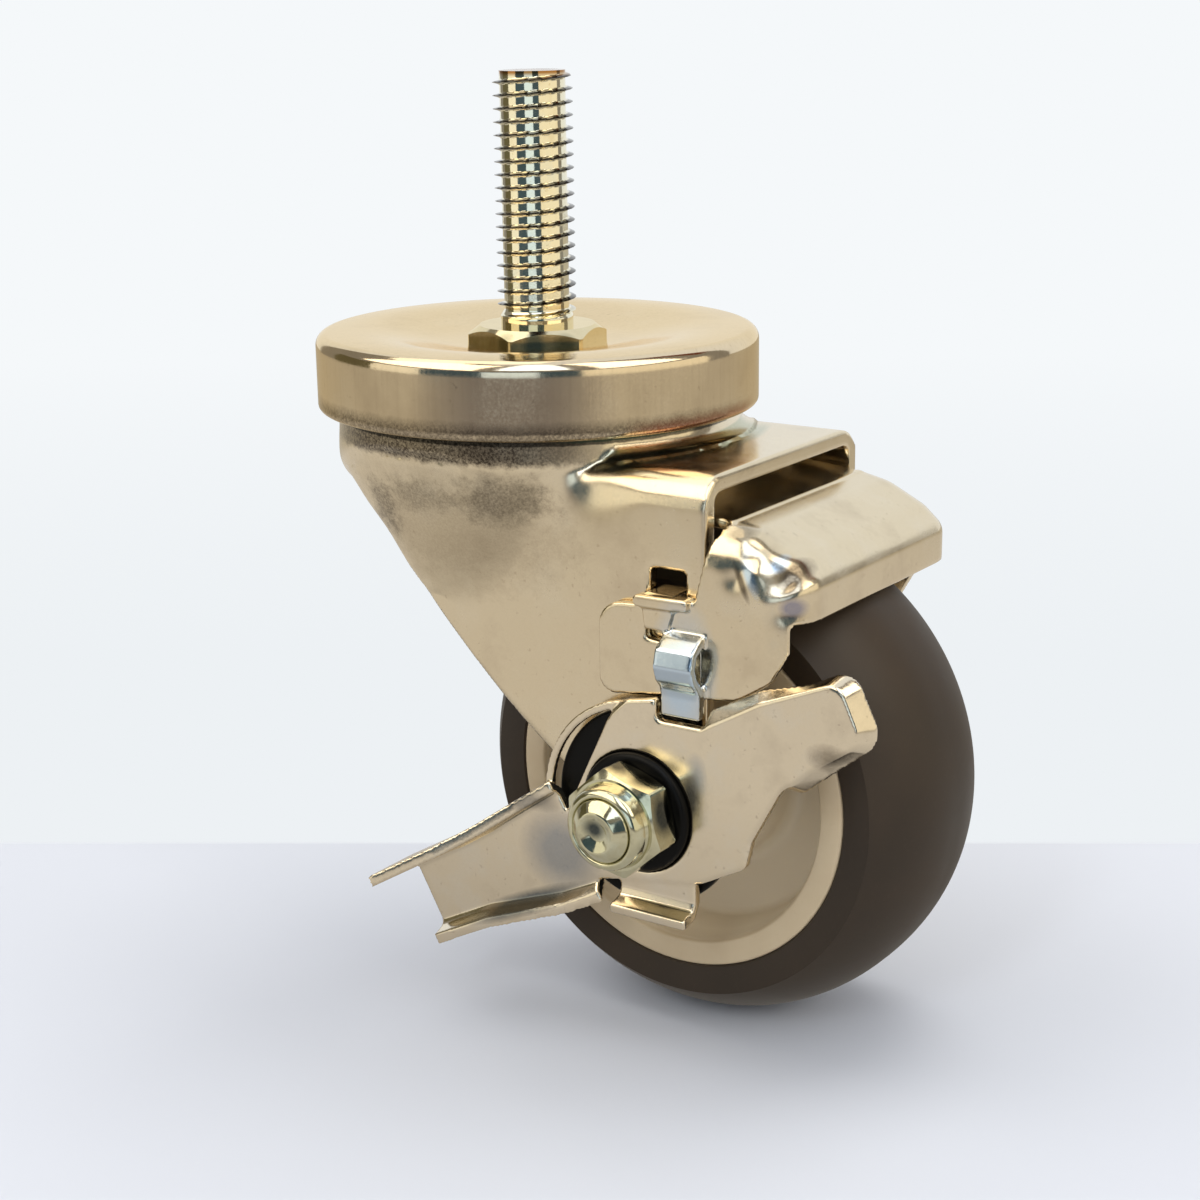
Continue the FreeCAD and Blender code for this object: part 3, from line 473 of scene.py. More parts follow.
def makeDirtAndPaintedLightSpotGroup():  # a spot round one point, for dirt and for painted shade, highlights and reflections, longer by 1 / (1 - length squared) of Along: mask
    tree, given, out = newGroup("dirtAndPaintedLightSpot", [
        ("Vector", "Vector", None), ("Centre", "Vector", None), ("Stretch", "Vector", None), ("Along", "Vector", None),
        ("Speckle", "Float", 1.0), ("Amount", "Float", 1.0)],
        [("Mask", "Float")])
    away = addNode(tree, "ShaderNodeVectorMath", {0: given["Vector"], 1: given["Centre"]},
                   operation="SUBTRACT").outputs[0]
    past = addNode(tree, "ShaderNodeVectorMath", {0: away, 1: given["Along"]}, operation="DOT_PRODUCT").outputs["Value"]
    past = addNode(tree, "ShaderNodeVectorMath", {0: given["Along"], "Scale": past}, operation="SCALE").outputs[0]
    away = addNode(tree, "ShaderNodeVectorMath", {0: away, 1: past}, operation="SUBTRACT").outputs[0]
    away = addNode(tree, "ShaderNodeVectorMath", {0: away, 1: given["Stretch"]}, operation="DIVIDE").outputs[0]
    reach = addNode(tree, "ShaderNodeVectorMath", {0: away}, operation="LENGTH").outputs["Value"]
    cloud = noise(tree, given["Vector"], 420.0, 5.0, 0.7)
    grains = noise(tree, given["Vector"], 2600.0, 4.0, 0.7)
    rag = mathNode(tree, "MULTIPLY", mapRange(tree, cloud, 0.2, 0.8, 0.55, -0.55), given["Speckle"])
    mask = mapRange(tree, mathNode(tree, "ADD", reach, rag), 1.0, 0.45)
    gaps = mathNode(tree, "MULTIPLY", mapRange(tree, grains, 0.35, 0.62, 0.7, 0.0), given["Speckle"])
    mask = mathNode(tree, "MULTIPLY", mask, mathNode(tree, "SUBTRACT", 1.0, gaps))
    tree.links.new(mathNode(tree, "MULTIPLY", mask, given["Amount"], True), out["Mask"])
    return tree


def makeBandGroup():  # a ring between two heights, on the side that faces one way, ragged and speckled: mask
    tree, given, out = newGroup("ringBand", [
        ("Vector", "Vector", None), ("Low", "Float", 0.0), ("High", "Float", 0.001), ("Aim", "Vector", None),
        ("Reach", "Float", 0.5), ("Spread", "Float", 0.2), ("Inner", "Float", 0.0), ("Outer", "Float", 1.0),
        ("Fade", "Float", 0.0004), ("Rag", "Float", 0.0005), ("Speckle", "Float", 0.6), ("Amount", "Float", 1.0)],
        [("Mask", "Float")])
    cloud = noise(tree, given["Vector"], 500.0, 4.0, 0.7)
    shift = mathNode(tree, "MULTIPLY", mapRange(tree, cloud, 0.25, 0.75, -1.0, 1.0), given["Rag"])
    height = addNode(tree, "ShaderNodeSeparateXYZ", {0: given["Vector"]}).outputs["Z"]
    height = mathNode(tree, "ADD", height, shift)
    above = mapRange(tree, mathNode(tree, "SUBTRACT", height, given["Low"]), 0.0, given["Fade"])
    below = mapRange(tree, mathNode(tree, "SUBTRACT", given["High"], height), 0.0, given["Fade"])
    flat = addNode(tree, "ShaderNodeVectorMath", {0: given["Vector"], 1: (1, 1, 0)}, operation="MULTIPLY").outputs[0]
    radius = addNode(tree, "ShaderNodeVectorMath", {0: flat}, operation="LENGTH").outputs["Value"]
    radius = mathNode(tree, "ADD", radius, shift)
    ring = mathNode(tree, "MULTIPLY", mapRange(tree, mathNode(tree, "SUBTRACT", radius, given["Inner"]), 0.0, 0.0004),
                    mapRange(tree, mathNode(tree, "SUBTRACT", given["Outer"], radius), 0.0, 0.0012))
    flat = addNode(tree, "ShaderNodeVectorMath", {0: flat}, operation="NORMALIZE").outputs[0]
    facing = addNode(tree, "ShaderNodeVectorMath", {0: flat, 1: given["Aim"]}, operation="DOT_PRODUCT").outputs["Value"]
    side = mathNode(tree, "DIVIDE", mathNode(tree, "SUBTRACT", facing, given["Reach"]), given["Spread"], True)
    grains = mapRange(tree, noise(tree, given["Vector"], 2600.0, 4.0, 0.7), 0.35, 0.6)
    gaps = mathNode(tree, "MULTIPLY", mathNode(tree, "SUBTRACT", 1.0, grains), given["Speckle"])
    mask = mathNode(tree, "MULTIPLY", mathNode(tree, "MULTIPLY", above, below), mathNode(tree, "MULTIPLY", side, ring))
    mask = mathNode(tree, "MULTIPLY", mask, mathNode(tree, "SUBTRACT", 1.0, gaps))
    tree.links.new(mathNode(tree, "MULTIPLY", mask, given["Amount"], True), out["Mask"])
    return tree


def makeStreakGroup():  # fine lines that run along one direction: value and height
    tree, given, out = newGroup("drawLines", [
        ("Vector", "Vector", None), ("Squeeze", "Vector", None), ("Scale", "Float", 900.0)],
        [("Fac", "Float"), ("Height", "Float")])
    squeezed = addNode(tree, "ShaderNodeVectorMath", {0: given["Vector"], 1: given["Squeeze"]},
                       operation="MULTIPLY").outputs[0]
    broad = noise(tree, squeezed, mathNode(tree, "MULTIPLY", given["Scale"], 0.3), 3.0, 0.6)
    thin = noise(tree, squeezed, given["Scale"], 3.0, 0.6)
    tree.links.new(mathNode(tree, "MULTIPLY_ADD", broad, 0.6, False), out["Fac"])
    tree.links.new(thin, out["Height"])
    return tree


platingSkin = makePlatingGroup()
dirtAndPaintedLightSpot = makeDirtAndPaintedLightSpotGroup()
ringBand = makeBandGroup()
drawLines = makeStreakGroup()


# finishes

def newMaterial(name):
    material = bpy.data.materials.new(name)
    material.use_nodes = True
    tree = material.node_tree
    tree.nodes.clear()
    shader = tree.nodes.new("ShaderNodeBsdfPrincipled")
    out = tree.nodes.new("ShaderNodeOutputMaterial")
    tree.links.new(shader.outputs[0], out.inputs["Surface"])
    place = tree.nodes.new("ShaderNodeTexCoord").outputs["Object"]
    return material, tree, shader, place


def bumped(tree, shader, height, strength, depth):
    bump = addNode(tree, "ShaderNodeBump", {"Height": height, "Strength": strength, "Distance": depth * mm})
    tree.links.new(bump.outputs[0], shader.inputs["Normal"])


def platedFinish(name, v):
    material, tree, shader, place = newMaterial(name)
    skin = useGroup(tree, platingSkin, {"Vector": place, "Main": v["main"], "Pale": v["pale"], "Deep": v["deep"],
                                        "Patch Size": v["patch"] * mm, "Patches": v["patches"],
                                        "Gloss": v["gloss"], "Rough": v["rough"]})
    colour, rough, height = skin["Color"], skin["Roughness"], skin["Height"]
    for (x, y, down), stretch, speckle, amount, tint, *along in v.get("dirtAndPaintedLightSpots", ()):
        mask = useGroup(tree, dirtAndPaintedLightSpot, {"Vector": place, "Centre": (x * mm, y * mm, (capTop - down) * mm),
                                       "Stretch": [s * mm for s in stretch], "Along": along[0] if along else (0, 0, 0),
                                       "Speckle": speckle, "Amount": amount})["Mask"]
        colour = mixColour(tree, mask, colour, tint)
    for (low, high, fade), (aim, reach, spread), (inner, outer), rag, speckle, amount, tint in v.get("bands", ()):
        a = math.radians(aim)
        mask = useGroup(tree, ringBand, {"Vector": place, "Low": (capTop - low) * mm, "High": (capTop - high) * mm,
                                         "Aim": (math.cos(a), math.sin(a), 0), "Reach": reach, "Spread": spread,
                                         "Inner": inner * mm, "Outer": outer * mm, "Fade": fade * mm,
                                         "Rag": rag * mm, "Speckle": speckle, "Amount": amount})["Mask"]
        colour = mixColour(tree, mask, colour, tint)
    if "lines" in v:
        lines = useGroup(tree, drawLines, {"Vector": place, "Squeeze": v["lines"], "Scale": v["lineScale"]})
        colour = mixColour(tree, mapRange(tree, lines["Height"], 0.45, 0.7, 0.0, v["lineDepth"]), colour, v["deep"])
        height = mathNode(tree, "ADD", height, lines["Height"])
    tree.links.new(colour, shader.inputs["Base Color"])
    tree.links.new(rough, shader.inputs["Roughness"])
    shader.inputs["Metallic"].default_value = 1.0
    shader.inputs["Specular Tint"].default_value = v.get("edge", (1, 1, 1, 1))
    bumped(tree, shader, height, v["bump"], 0.02)
    return material


# first colour: dirt and painted shade; second: a reddish band; third: painted shade under the cap's rim
sootAndShade, reddishTint, paintedGapShade = rgb(62, 52, 44), rgb(150, 78, 48), rgb(44, 62, 50)
# first colour: a painted bluish highlight; second: a painted blue-grey reflection; third: painted shade in creases and
# hollows
paintedBlueHighlight, paintedBlueGreyReflection, paintedValleyShade = rgb(200, 218, 236), rgb(84, 94, 102), rgb(74, 60, 48)
# a painted reflection of the cap's shaded underside on the cove and deck
paintedCoveReflection = rgb(112, 150, 126)

# spots of dirt, painted shade, painted highlights and painted reflections: centre (x, y, depth below the cap's face),
# stretch, speckle, amount, tint, direction of a long one
# bands: depths below the cap's face (low, high, fade), side (degrees round the stem, reach,
# spread), radii, raggedness, speckle, amount, tint
# edge: the colour that the metal takes where it is seen at a low angle

capFinish = platedFinish("capZinc", {
    "main": rgb(228, 211, 182), "pale": rgb(238, 226, 204), "deep": rgb(164, 144, 118), "patch": 16, "patches": 0.4,
    "gloss": 0.08, "rough": 0.15, "bump": 0.1, "lines": (1, 1, 0.02), "lineScale": 1500, "lineDepth": 0.1,
    "edge": (1.0, 0.9, 0.72, 1),
    # bands: the first darkens the wall's lower edge over the gap with dirt and painted shade; the second is a reddish
    # band low on the side facing about -8 degrees
    "bands": [((13.6, 8.6, 1.6), (-70, 0.1, 0.5), (0, 40), 0.3, 0.55, 0.75, sootAndShade),
              ((13.6, 9.2, 1.4), (-8, 0.9, 0.06), (0, 40), 0.3, 0.1, 0.6, reddishTint)]})
sheetFinish = platedFinish("forkZinc", {
    "main": rgb(228, 213, 184), "pale": rgb(238, 227, 204), "deep": rgb(162, 142, 116), "patch": 12, "patches": 0.4,
    "gloss": 0.13, "rough": 0.24, "bump": 0.1,
    # spots: a broad painted shade on the top of the leg, then dirt and painted shade under the drum's foot
    "dirtAndPaintedLightSpots": [((2, -26, 26), (24, 12, 13), 0.5, 0.4, rgb(136, 120, 96)), ((12, -27, 21.2), (9, 8, 4.8), 0.7, 0.6, sootAndShade),
                ((-3, -29, 21.6), (8, 8, 3.4), 0.8, 0.4, sootAndShade), ((-10.6, -26, 25), (4, 8, 5.6), 0.9, 0.6, sootAndShade)],
    # bands: dirt and painted shade on the drum under the cap, a painted reflection on the cove and deck, a painted
    # shadow line under the cap's rim, and painted shade on the drum's wall just under the cap
    "bands": [((16.2, 11.4, 0.9), (-88, 0.58, 0.3), (0, 40), 0.5, 0.5, 0.95, sootAndShade),
              ((16.6, 13.7, 0.25), (-8, 0.78, 0.08), (31, 36.4), 0.05, 0, 0.4, paintedCoveReflection),
              ((13.0, 10.4, 0.2), (-56, -0.4, 0.3), (0, 40), 0.1, 0.1, 0.85, rgb(22, 22, 20)),
              ((12.6, 10.4, 0.2), (-6, 0.7, 0.1), (0, 33), 0.1, 0.1, 0.8, paintedGapShade)]})
shoeFinish = platedFinish("shoeZinc", {
    "main": rgb(228, 213, 184), "pale": rgb(238, 228, 208), "deep": rgb(162, 142, 116), "patch": 10, "patches": 0.35,
    "gloss": 0.13, "rough": 0.24, "bump": 0.1,
    # spots: painted bluish highlights and reflections on the tab and the dart, and painted shade in the dart's valley
    # and folds
    "dirtAndPaintedLightSpots": [((42, -28, 43), (7, 6, 14), 0.1, 1.0, paintedBlueHighlight), ((57.3, -21, 27.6), (2.1, 6, 2.8), 0.2, 0.85, paintedValleyShade),
                ((57.9, -22, 31.6), (1.9, 5, 1.8), 0.1, 0.7, rgb(120, 124, 158)), ((55.3, -22, 25.9), (1.3, 4, 1.4), 0, 1, paintedBlueHighlight),
                ((51.8, -25, 27.4), (1.1, 4, 1.1), 0.1, 1, paintedBlueHighlight, (0.4, 0, -0.75)),
                ((50.7, -25, 28.6), (0.7, 4, 0.7), 0.1, 0.8, paintedValleyShade, (0.4, 0, -0.8)), ((49, -21, 22.6), (2.4, 4, 1.4), 0.2, 0.5, paintedValleyShade)]})
pedalFinish = platedFinish("pedalZinc", {
    "main": rgb(232, 219, 195), "pale": rgb(232, 231, 226), "deep": rgb(140, 126, 108), "patch": 9, "patches": 0.3,
    "gloss": 0.12, "rough": 0.22, "bump": 0.1,
    # spots: painted blue-grey reflections on the front arm, beside the bushing and along the lower flange; painted
    # shade on the top flange and the rear arm's end
    "dirtAndPaintedLightSpots": [((21.5, -29, 73.5), (8.5, 9, 7.4), 0.1, 0.75, rgb(146, 152, 160)),
                ((17, -29, 66.2), (5, 9, 2), 0.1, 0.6, rgb(120, 118, 118)),
                ((44.8, -29, 57.5), (2.2, 6, 4.5), 0.1, 0.6, rgb(150, 160, 172)),
                ((66, -29, 50.6), (4.5, 6, 2.4), 0.2, 0.6, paintedValleyShade),
                ((15.5, -29, 82.7), (1.9, 9, 1.9), 0.1, 0.9, paintedBlueGreyReflection, (0.845, 0, 0.379))]})
hardwareFinish = platedFinish("boltZinc", {
    "main": rgb(206, 202, 172), "pale": rgb(222, 226, 206), "deep": rgb(84, 80, 60), "patch": 3, "patches": 0.5,
    "gloss": 0.06, "rough": 0.14, "bump": 0.1,
    # spots: painted dark reflections on the nut's faces and the bolt's end
    "dirtAndPaintedLightSpots": [((32.4, -29.8, 57.2), (5, 3, 2.2), 0.1, 0.95, rgb(34, 34, 34)),
                ((38.4, -29.8, 57.6), (2.6, 3, 2), 0.1, 0.9, rgb(70, 68, 54)),
                ((41.9, -30.2, 62.2), (2.2, 3, 4), 0.1, 0.95, rgb(56, 64, 72)),
                ((34.3, -37.2, 64), (2, 2, 1.8), 0.1, 0.95, rgb(50, 60, 66))]})
collarFinish = platedFinish("collarZinc", {
    "main": rgb(226, 214, 180), "pale": rgb(236, 230, 206), "deep": rgb(150, 132, 100), "patch": 5, "patches": 0.3,
    "gloss": 0.07, "rough": 0.14, "bump": 0.1, "edge": (1.0, 0.92, 0.76, 1),
    # spots: painted reflections on the near flat, a blue band between two olive patches
    "dirtAndPaintedLightSpots": [((5.2, -8.2, 1.6), (1.6, 2.4, 3), 0.1, 0.8, rgb(108, 136, 142)),
                ((1.2, -9.4, 1.6), (2, 2.4, 2), 0.1, 0.6, rgb(92, 100, 76)),
                ((8.8, -5.4, 1.6), (2, 2.4, 2), 0.1, 0.6, rgb(92, 100, 76))]})
ballFinish = platedFinish("ballSteel", {
    "main": rgb(205, 205, 205), "pale": rgb(225, 226, 230), "deep": rgb(110, 108, 104), "patch": 2, "patches": 0.3,
    "gloss": 0.08, "rough": 0.16, "bump": 0.05})


# the crest colour is painted shade along the thread's crests
stemColours = {"root": rgb(240, 232, 204), "crest": rgb(40, 32, 22), "end": rgb(168, 122, 70),
               "pale": rgb(214, 224, 222)}


def stemFinish(v):  # yellow chromate: pale mirror-like grooves, painted shade along the crests and a worn end
    material, tree, shader, place = newMaterial("yellowZinc")
    skin = useGroup(tree, platingSkin, {"Vector": place, "Main": v["root"], "Pale": v["pale"],
                                        "Deep": rgb(190, 160, 96), "Patch Size": 0.004, "Patches": 0.4,
                                        "Gloss": 0.05, "Rough": 0.1})
    flat = addNode(tree, "ShaderNodeVectorMath", {0: place, 1: (1.0, 1.0, 0.0)}, operation="MULTIPLY").outputs[0]
    radius = addNode(tree, "ShaderNodeVectorMath", {0: flat}, operation="LENGTH").outputs["Value"]
    height = addNode(tree, "ShaderNodeSeparateXYZ", {0: place}).outputs["Z"]
    # painted shade: the crests are coloured dark where the shank's radius is past 5.15 mm
    crestShadeMask = mathNode(tree, "MULTIPLY", mapRange(tree, radius, 0.00515, 0.0054), mapRange(tree, height, 0.002, 0.003))
    colour = mixColour(tree, crestShadeMask, skin["Color"], v["crest"])
    colour = mixColour(tree, mapRange(tree, height, 0.0372, 0.0378), colour, v["end"])
    tree.links.new(colour, shader.inputs["Base Color"])
    tree.links.new(skin["Roughness"], shader.inputs["Roughness"])
    shader.inputs["Metallic"].default_value = 1.0
    bumped(tree, shader, skin["Height"], 0.12, 0.02)
    return material


yellowZinc = stemFinish(stemColours)


def mouldedFinish(name, v):  # plastic or rubber: mottled colour, soft sheen, fine grain
    material, tree, shader, place = newMaterial(name)
    cloud = noise(tree, place, 1 / (v["patch"] * mm), 4.0, 0.6)
    grain = noise(tree, place, v["grain"], 3.0, 0.6)
    colour = mixColour(tree, mapRange(tree, cloud, 0.35, 0.68), v["main"], v["other"])
    colour = mixColour(tree, mapRange(tree, grain, 0.6, 0.75, 0.0, v["dust"]), colour, v["dustColour"])
    # painted light: the web between hub and rim is painted lighter to lift the shade in its recess
    if "web" in v:
        side = addNode(tree, "ShaderNodeVectorMath", {0: place, 1: (axleX * mm, 0, axleZ * mm)},
                       operation="SUBTRACT").outputs[0]
        side = addNode(tree, "ShaderNodeVectorMath", {0: side, 1: (1, 0, 1)}, operation="MULTIPLY").outputs[0]
        radius = addNode(tree, "ShaderNodeVectorMath", {0: side}, operation="LENGTH").outputs["Value"]
        web = mapRange(tree, radius, 0.0239, 0.0234)
        colour = mixColour(tree, mathNode(tree, "MULTIPLY", web, 0.85), colour, v["web"])
    tree.links.new(colour, shader.inputs["Base Color"])
    tree.links.new(mapRange(tree, cloud, 0.3, 0.7, v["gloss"], v["rough"]), shader.inputs["Roughness"])
    shader.inputs["Specular IOR Level"].default_value = v["shine"]
    bumped(tree, shader, grain, v["bump"], 0.03)
    return material


rubberFinish = mouldedFinish("treadRubber", {
    "main": rgb(46, 36, 25), "other": rgb(54, 42, 29), "patch": 18, "grain": 1800, "dust": 0.1,
    "dustColour": rgb(88, 74, 58), "gloss": 0.42, "rough": 0.55, "shine": 0.35, "bump": 0.12})
coreFinish = mouldedFinish("corePlastic", {
    "main": rgb(186, 166, 133), "other": rgb(194, 176, 144), "patch": 12, "grain": 1500, "dust": 0.1,
    "dustColour": rgb(150, 132, 100), "gloss": 0.32, "rough": 0.45, "shine": 0.5, "bump": 0.1,
    # the last colour is painted light, lighter than the core so that its recessed web does not read dark
    "web": rgb(228, 214, 186)})
blackFinish = mouldedFinish("blackPlastic", {
    "main": rgb(6, 6, 5), "other": rgb(10, 9, 9), "patch": 5, "grain": 2200, "dust": 0.1,
    "dustColour": rgb(36, 33, 30), "gloss": 0.28, "rough": 0.42, "shine": 0.12, "bump": 0.1})
bushFinish = mouldedFinish("bushPlastic", {
    "main": rgb(190, 182, 164), "other": rgb(200, 194, 178), "patch": 5, "grain": 2200, "dust": 0.1,
    "dustColour": rgb(140, 130, 110), "gloss": 0.35, "rough": 0.5, "shine": 0.5, "bump": 0.1})


def dress(finish, *pieces):
    for piece in pieces:
        piece.data.materials.clear()
        piece.data.materials.append(finish)


def dressNodes(finish, *names):
    for name in names:
        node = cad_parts[name]
        if not node.material_slots:
            node.data.materials.append(finish)
        for place in node.material_slots:
            place.material = finish


dress(yellowZinc, shank, kingpin)
dress(collarFinish, collar)
dress(capFinish, cap)
dress(sheetFinish, fork)
dress(shoeFinish, shoe)
dress(pedalFinish, pedal)
dress(hardwareFinish, nut, nutDome, shaft, head)
dress(rubberFinish, tread)
dress(coreFinish, core)
dress(blackFinish, bushing)
dressNodes(ballFinish, "load_balls", "thrust_balls")
dressNodes(hardwareFinish, "lower_race", "head_washer", "axle_sleeve", "near_hub_washer", "far_hub_washer")
dressNodes(bushFinish, "near_wheel_bush", "far_wheel_bush")
print("finishes made")


# floor, light and camera

stageValues = {
    "near": rgb(209, 213, 221), "far": rgb(237, 241, 244), "top": rgb(245, 248, 250), "lineThrough": (-16.27, 38.87),
    "lineAlong": (188.86, 117.99), "size": 60.0}


def seenByCamera(tree):  # 1 for camera, glossy and transmission rays
    path = tree.nodes.new("ShaderNodeLightPath").outputs
    both = mathNode(tree, "MAXIMUM", path["Is Camera Ray"], path["Is Glossy Ray"])
    return mathNode(tree, "MAXIMUM", both, path["Is Transmission Ray"])


def makeFloor(v):
    size = v["size"]
    mesh = bpy.data.meshes.new("floor")
    mesh.from_pydata([(-size, -size, floorZ), (size, -size, floorZ), (size, size, floorZ), (-size, size, floorZ)],
                     [], [(0, 1, 2, 3)])
    floor = bpy.data.objects.new("floor", mesh)
    bpy.context.scene.collection.objects.link(floor)
    material, tree, shader, place = newMaterial("floorPaint")
    along = np.array(v["lineAlong"]) / np.linalg.norm(v["lineAlong"])
    across = (-along[1], along[0], 0.0)
    away = addNode(tree, "ShaderNodeVectorMath", {0: place, 1: (v["lineThrough"][0] * mm, v["lineThrough"][1] * mm,
                                                                floorZ)}, operation="SUBTRACT").outputs[0]
    past = addNode(tree, "ShaderNodeVectorMath", {0: away, 1: across}, operation="DOT_PRODUCT").outputs["Value"]
    beyond = mapRange(tree, past, -0.0006, 0.0006)
    tone = noise(tree, place, 9.0, 2.0, 0.5)
    near = mixColour(tree, mapRange(tree, tone, 0.3, 0.7, 0.0, 0.5), v["near"], rgb(216, 220, 228))
    tree.links.new(near, shader.inputs["Base Color"])
    tree.links.new(mapRange(tree, tone, 0.3, 0.7, 0.55, 0.65), shader.inputs["Roughness"])
    shader.inputs["Specular IOR Level"].default_value = 0.2
    far = mixColour(tree, mapRange(tree, past, 0.12, 0.55), v["far"], v["top"])
    bright = addNode(tree, "ShaderNodeEmission", {"Color": far, "Strength": 1.0})
    mix = addNode(tree, "ShaderNodeMixShader", {0: mathNode(tree, "MULTIPLY", beyond, seenByCamera(tree)),
                                                1: shader.outputs[0], 2: bright.outputs[0]})
    out = next(n for n in tree.nodes if n.bl_idname == "ShaderNodeOutputMaterial")
    tree.links.new(mix.outputs[0], out.inputs["Surface"])
    mesh.materials.append(material)


def makeWorld(v):
    world = bpy.data.worlds.new("studio")
    bpy.context.scene.world = world
    world.use_nodes = True
    tree = world.node_tree
    tree.nodes.clear()
    seen = addNode(tree, "ShaderNodeBackground", {"Color": v["top"], "Strength": 1.0})
    lit = addNode(tree, "ShaderNodeBackground", {"Color": rgb(248, 248, 250), "Strength": 0.88})
    mix = addNode(tree, "ShaderNodeMixShader", {0: seenByCamera(tree), 1: lit.outputs[0], 2: seen.outputs[0]})
    out = tree.nodes.new("ShaderNodeOutputWorld")
    tree.links.new(mix.outputs[0], out.inputs["Surface"])


lampValues = {
    "key": {"place": (-0.5, -0.25, 0.8), "size": (0.5, 0.5), "watts": 1.9, "colour": (1.0, 0.97, 0.93)},
    "front": {"place": (0.12, -0.7, 0.42), "size": (0.12, 0.3), "watts": 0.9, "colour": (0.93, 0.97, 1.0)},
    "side": {"place": (0.8, -0.2, 0.3), "size": (0.2, 0.5), "watts": 1.4, "colour": (1.0, 0.94, 0.86)},
    "top": {"place": (0.1, 0.3, 0.8), "size": (0.5, 0.4), "watts": 2.2, "colour": (1.0, 0.97, 0.9)}}


def makeLamps(values):
    for name, v in values.items():
        data = bpy.data.lights.new(name + "Lamp", "AREA")
        data.shape = "RECTANGLE"
        data.size, data.size_y = v["size"]
        data.energy = v["watts"]
        data.color = v["colour"]
        lamp = bpy.data.objects.new(name + "Lamp", data)
        lamp.location = v["place"]
        lamp.rotation_euler = (Vector((0.01, 0, -0.04)) - Vector(v["place"])).to_track_quat("-Z", "Y").to_euler()
        lamp.visible_glossy = False
        bpy.context.scene.collection.objects.link(lamp)


cameraValues = {"place": (0.19708, -0.27383, capTop * mm + 0.04978), "azimuth": 34.206, "elevation": 15.581,
                "roll": -0.831, "lens": 65.61}


def makeCamera(v):
    data = bpy.data.cameras.new("camera")
    data.lens = v["lens"]
    data.sensor_width = 36.0
    data.clip_start, data.clip_end = 0.01, 200
    camera = bpy.data.objects.new("camera", data)
    bpy.context.scene.collection.objects.link(camera)
    a, e, r = (math.radians(v[k]) for k in ("azimuth", "elevation", "roll"))
    back = Vector((math.sin(a) * math.cos(e), -math.cos(a) * math.cos(e), math.sin(e)))
    right = Vector((math.cos(a), math.sin(a), 0))
    up = back.cross(right)
    tilted = Matrix((right * math.cos(r) + up * math.sin(r), up * math.cos(r) - right * math.sin(r), back))
    place = tilted.transposed().to_4x4()
    place.translation = v["place"]
    camera.matrix_world = place
    bpy.context.scene.camera = camera


# soft boxes and dull walls that only reflections show: azimuth and elevation in degrees, radius in metres
cardValues = {
    "dome": {"azimuth": (-200, 58), "elevation": (-14, 76), "radius": 0.8, "colour": rgb(142, 138, 131), "strength": 1.0},
    "leftWindow": {"azimuth": (-160, -88), "elevation": (24, 70), "radius": 0.74, "colour": rgb(255, 244, 224),
                   "strength": 2.6},
    "middleWindow": {"azimuth": (-76, -38), "elevation": (28, 80), "radius": 0.74, "colour": rgb(232, 242, 255),
                     "strength": 2.6},
    "rightWindow": {"azimuth": (-22, 27), "elevation": (24, 76), "radius": 0.74, "colour": rgb(255, 246, 228),
                    "strength": 2.6},
    "backWindow": {"azimuth": (120, 200), "elevation": (48, 86), "radius": 0.76, "colour": rgb(255, 248, 232),
                   "strength": 1.8},
    "rustWall": {"azimuth": (44, 58), "elevation": (32, 60), "radius": 0.76, "colour": rgb(110, 58, 36),
                 "strength": 1.0},
    "leftEnd": {"azimuth": (-178, -146), "elevation": (-7.5, 18), "radius": 0.72, "colour": rgb(104, 98, 74),
                "strength": 1.0},
    "leftWall": {"azimuth": (-146, -115), "elevation": (-7.5, 18), "radius": 0.72, "colour": rgb(250, 244, 226),
                 "strength": 1.1},
    "darkWall": {"azimuth": (-115, -33), "elevation": (-7.5, 18), "radius": 0.72, "colour": rgb(70, 88, 100),
                 "strength": 1.0},
    "lowWindow": {"azimuth": (-82, -54), "elevation": (-7.5, 14), "radius": 0.7, "colour": rgb(218, 236, 250),
                  "strength": 1.2},
    "rightWall": {"azimuth": (-33, 40), "elevation": (-7.5, 18), "radius": 0.72, "colour": rgb(246, 236, 212),
                  "strength": 1.1}}
# the table's first tone is a painted shadow under the castor, seen only in reflections
tableValues = {"under": rgb(150, 146, 140), "near": rgb(216, 211, 204), "far": rgb(190, 183, 168),
               "middle": rgb(132, 127, 126), "underReach": (0.07, 0.16), "farReach": (0.3, 0.46), "middleAim": -68,
               "middleReach": (0.6, 0.95), "radius": 1.2}


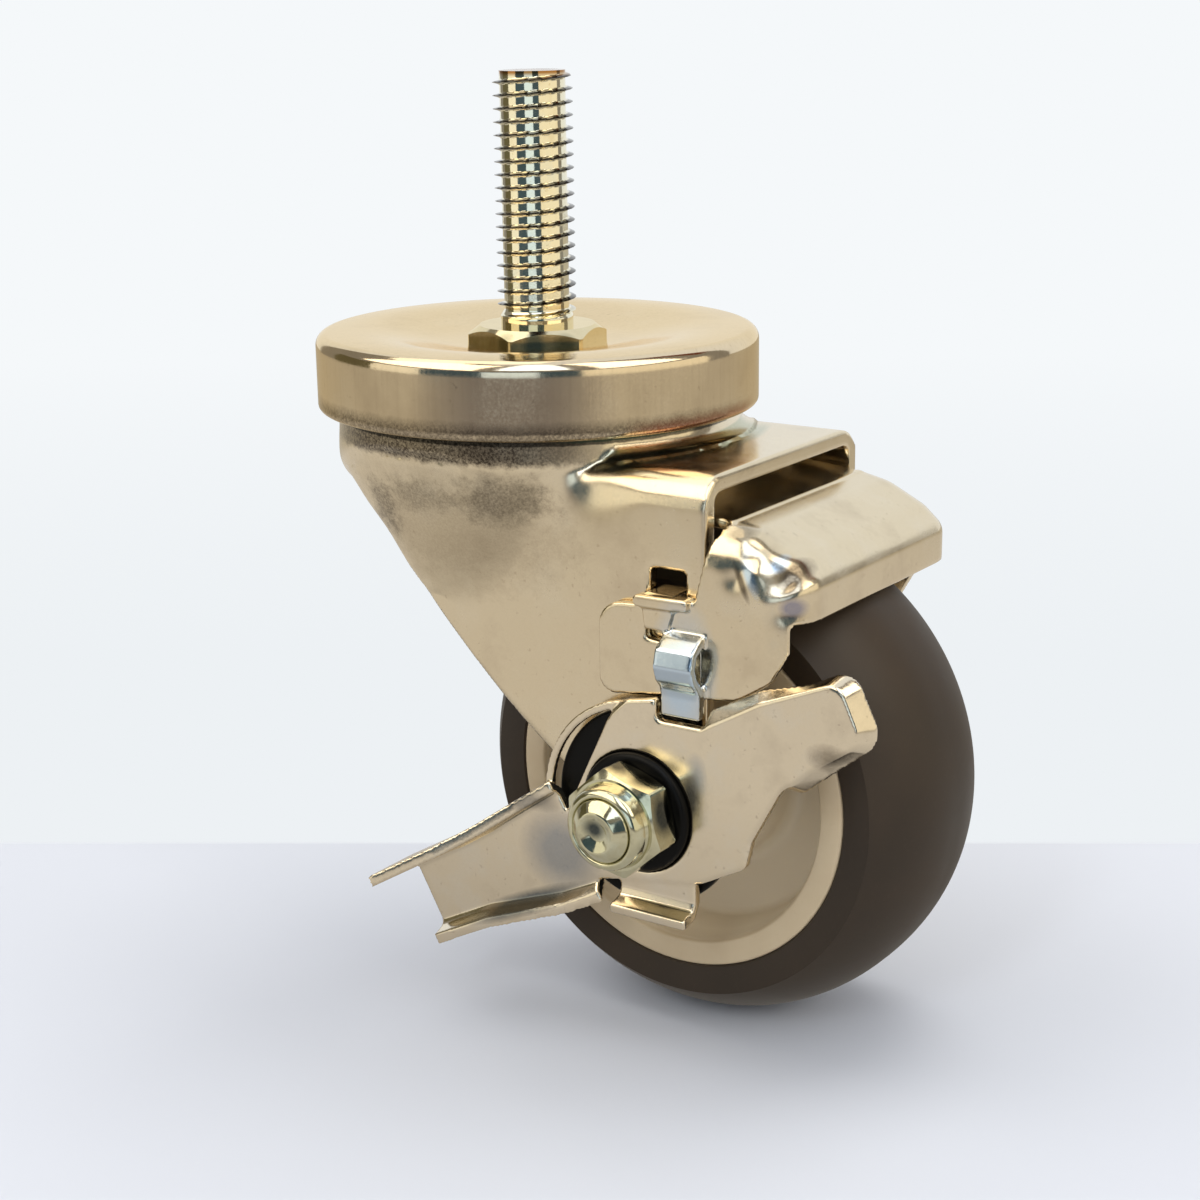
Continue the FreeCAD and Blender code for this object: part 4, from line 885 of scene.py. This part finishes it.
def reflectedOnly(name, points, rows, columns):
    r, c = np.meshgrid(np.arange(rows - 1), np.arange(columns - 1), indexing="ij")
    faces = np.stack([r * columns + c, r * columns + c + 1, (r + 1) * columns + c + 1, (r + 1) * columns + c], -1)
    mesh = bpy.data.meshes.new(name)
    mesh.from_pydata(points.reshape(-1, 3).tolist(), [], faces.reshape(-1, 4).tolist())
    made = bpy.data.objects.new(name, mesh)
    bpy.context.scene.collection.objects.link(made)
    made.visible_camera = made.visible_diffuse = made.visible_shadow = False
    made.visible_transmission = made.visible_volume_scatter = False
    material, tree, shader, place = newMaterial(name + "Paint")
    mesh.materials.append(material)
    out = next(n for n in tree.nodes if n.bl_idname == "ShaderNodeOutputMaterial")
    glow = tree.nodes.new("ShaderNodeEmission")
    tree.links.new(glow.outputs[0], out.inputs["Surface"])
    return tree, glow, place


def makeCard(name, v):
    # part of a sphere round the castor: radius times (cos e cos a, cos e sin a, sin e)
    e = np.radians(np.linspace(*v["elevation"], 10))[:, None]
    a = np.radians(np.linspace(*v["azimuth"], 40))[None, :]
    points = v["radius"] * np.stack([np.cos(e) * np.cos(a), np.cos(e) * np.sin(a), np.sin(e) + 0 * a], -1)
    tree, glow, place = reflectedOnly(name, points, 10, 40)
    glow.inputs["Color"].default_value = v["colour"]
    glow.inputs["Strength"].default_value = v["strength"]


def makeTable(v):
    # a flat disc just over the floor: radius r by angle t; a painted shadow under the castor, then light, then darker
    # outwards and on the side of the camera
    r = np.linspace(0.001, v["radius"], 12)[:, None]
    t = np.linspace(0, turn, 61)[None, :]
    points = np.stack([r * np.cos(t), r * np.sin(t), floorZ + 0.0015 + 0 * r * t], -1)
    tree, glow, place = reflectedOnly("table", points, 12, 61)
    away = addNode(tree, "ShaderNodeVectorMath", {0: place}, operation="LENGTH").outputs["Value"]
    aim = addNode(tree, "ShaderNodeVectorMath", {0: place, 1: (1, 1, 0)}, operation="MULTIPLY").outputs[0]
    aim = addNode(tree, "ShaderNodeVectorMath", {0: aim}, operation="NORMALIZE").outputs[0]
    a = math.radians(v["middleAim"])
    facing = addNode(tree, "ShaderNodeVectorMath", {0: aim, 1: (math.cos(a), math.sin(a), 0)},
                     operation="DOT_PRODUCT").outputs["Value"]
    outer = mixColour(tree, mapRange(tree, facing, *v["middleReach"]), v["far"], v["middle"])
    colour = mixColour(tree, mapRange(tree, away, *v["underReach"]), v["under"], v["near"])
    colour = mixColour(tree, mapRange(tree, away, *v["farReach"]), colour, outer)
    tree.links.new(colour, glow.inputs["Color"])


makeFloor(stageValues)
for cardName, card in cardValues.items():
    makeCard(cardName, card)
makeTable(tableValues)
makeWorld(stageValues)
makeLamps(lampValues)
makeCamera(cameraValues)
bpy.context.scene.view_settings.view_transform = "Standard"
print("stage made")
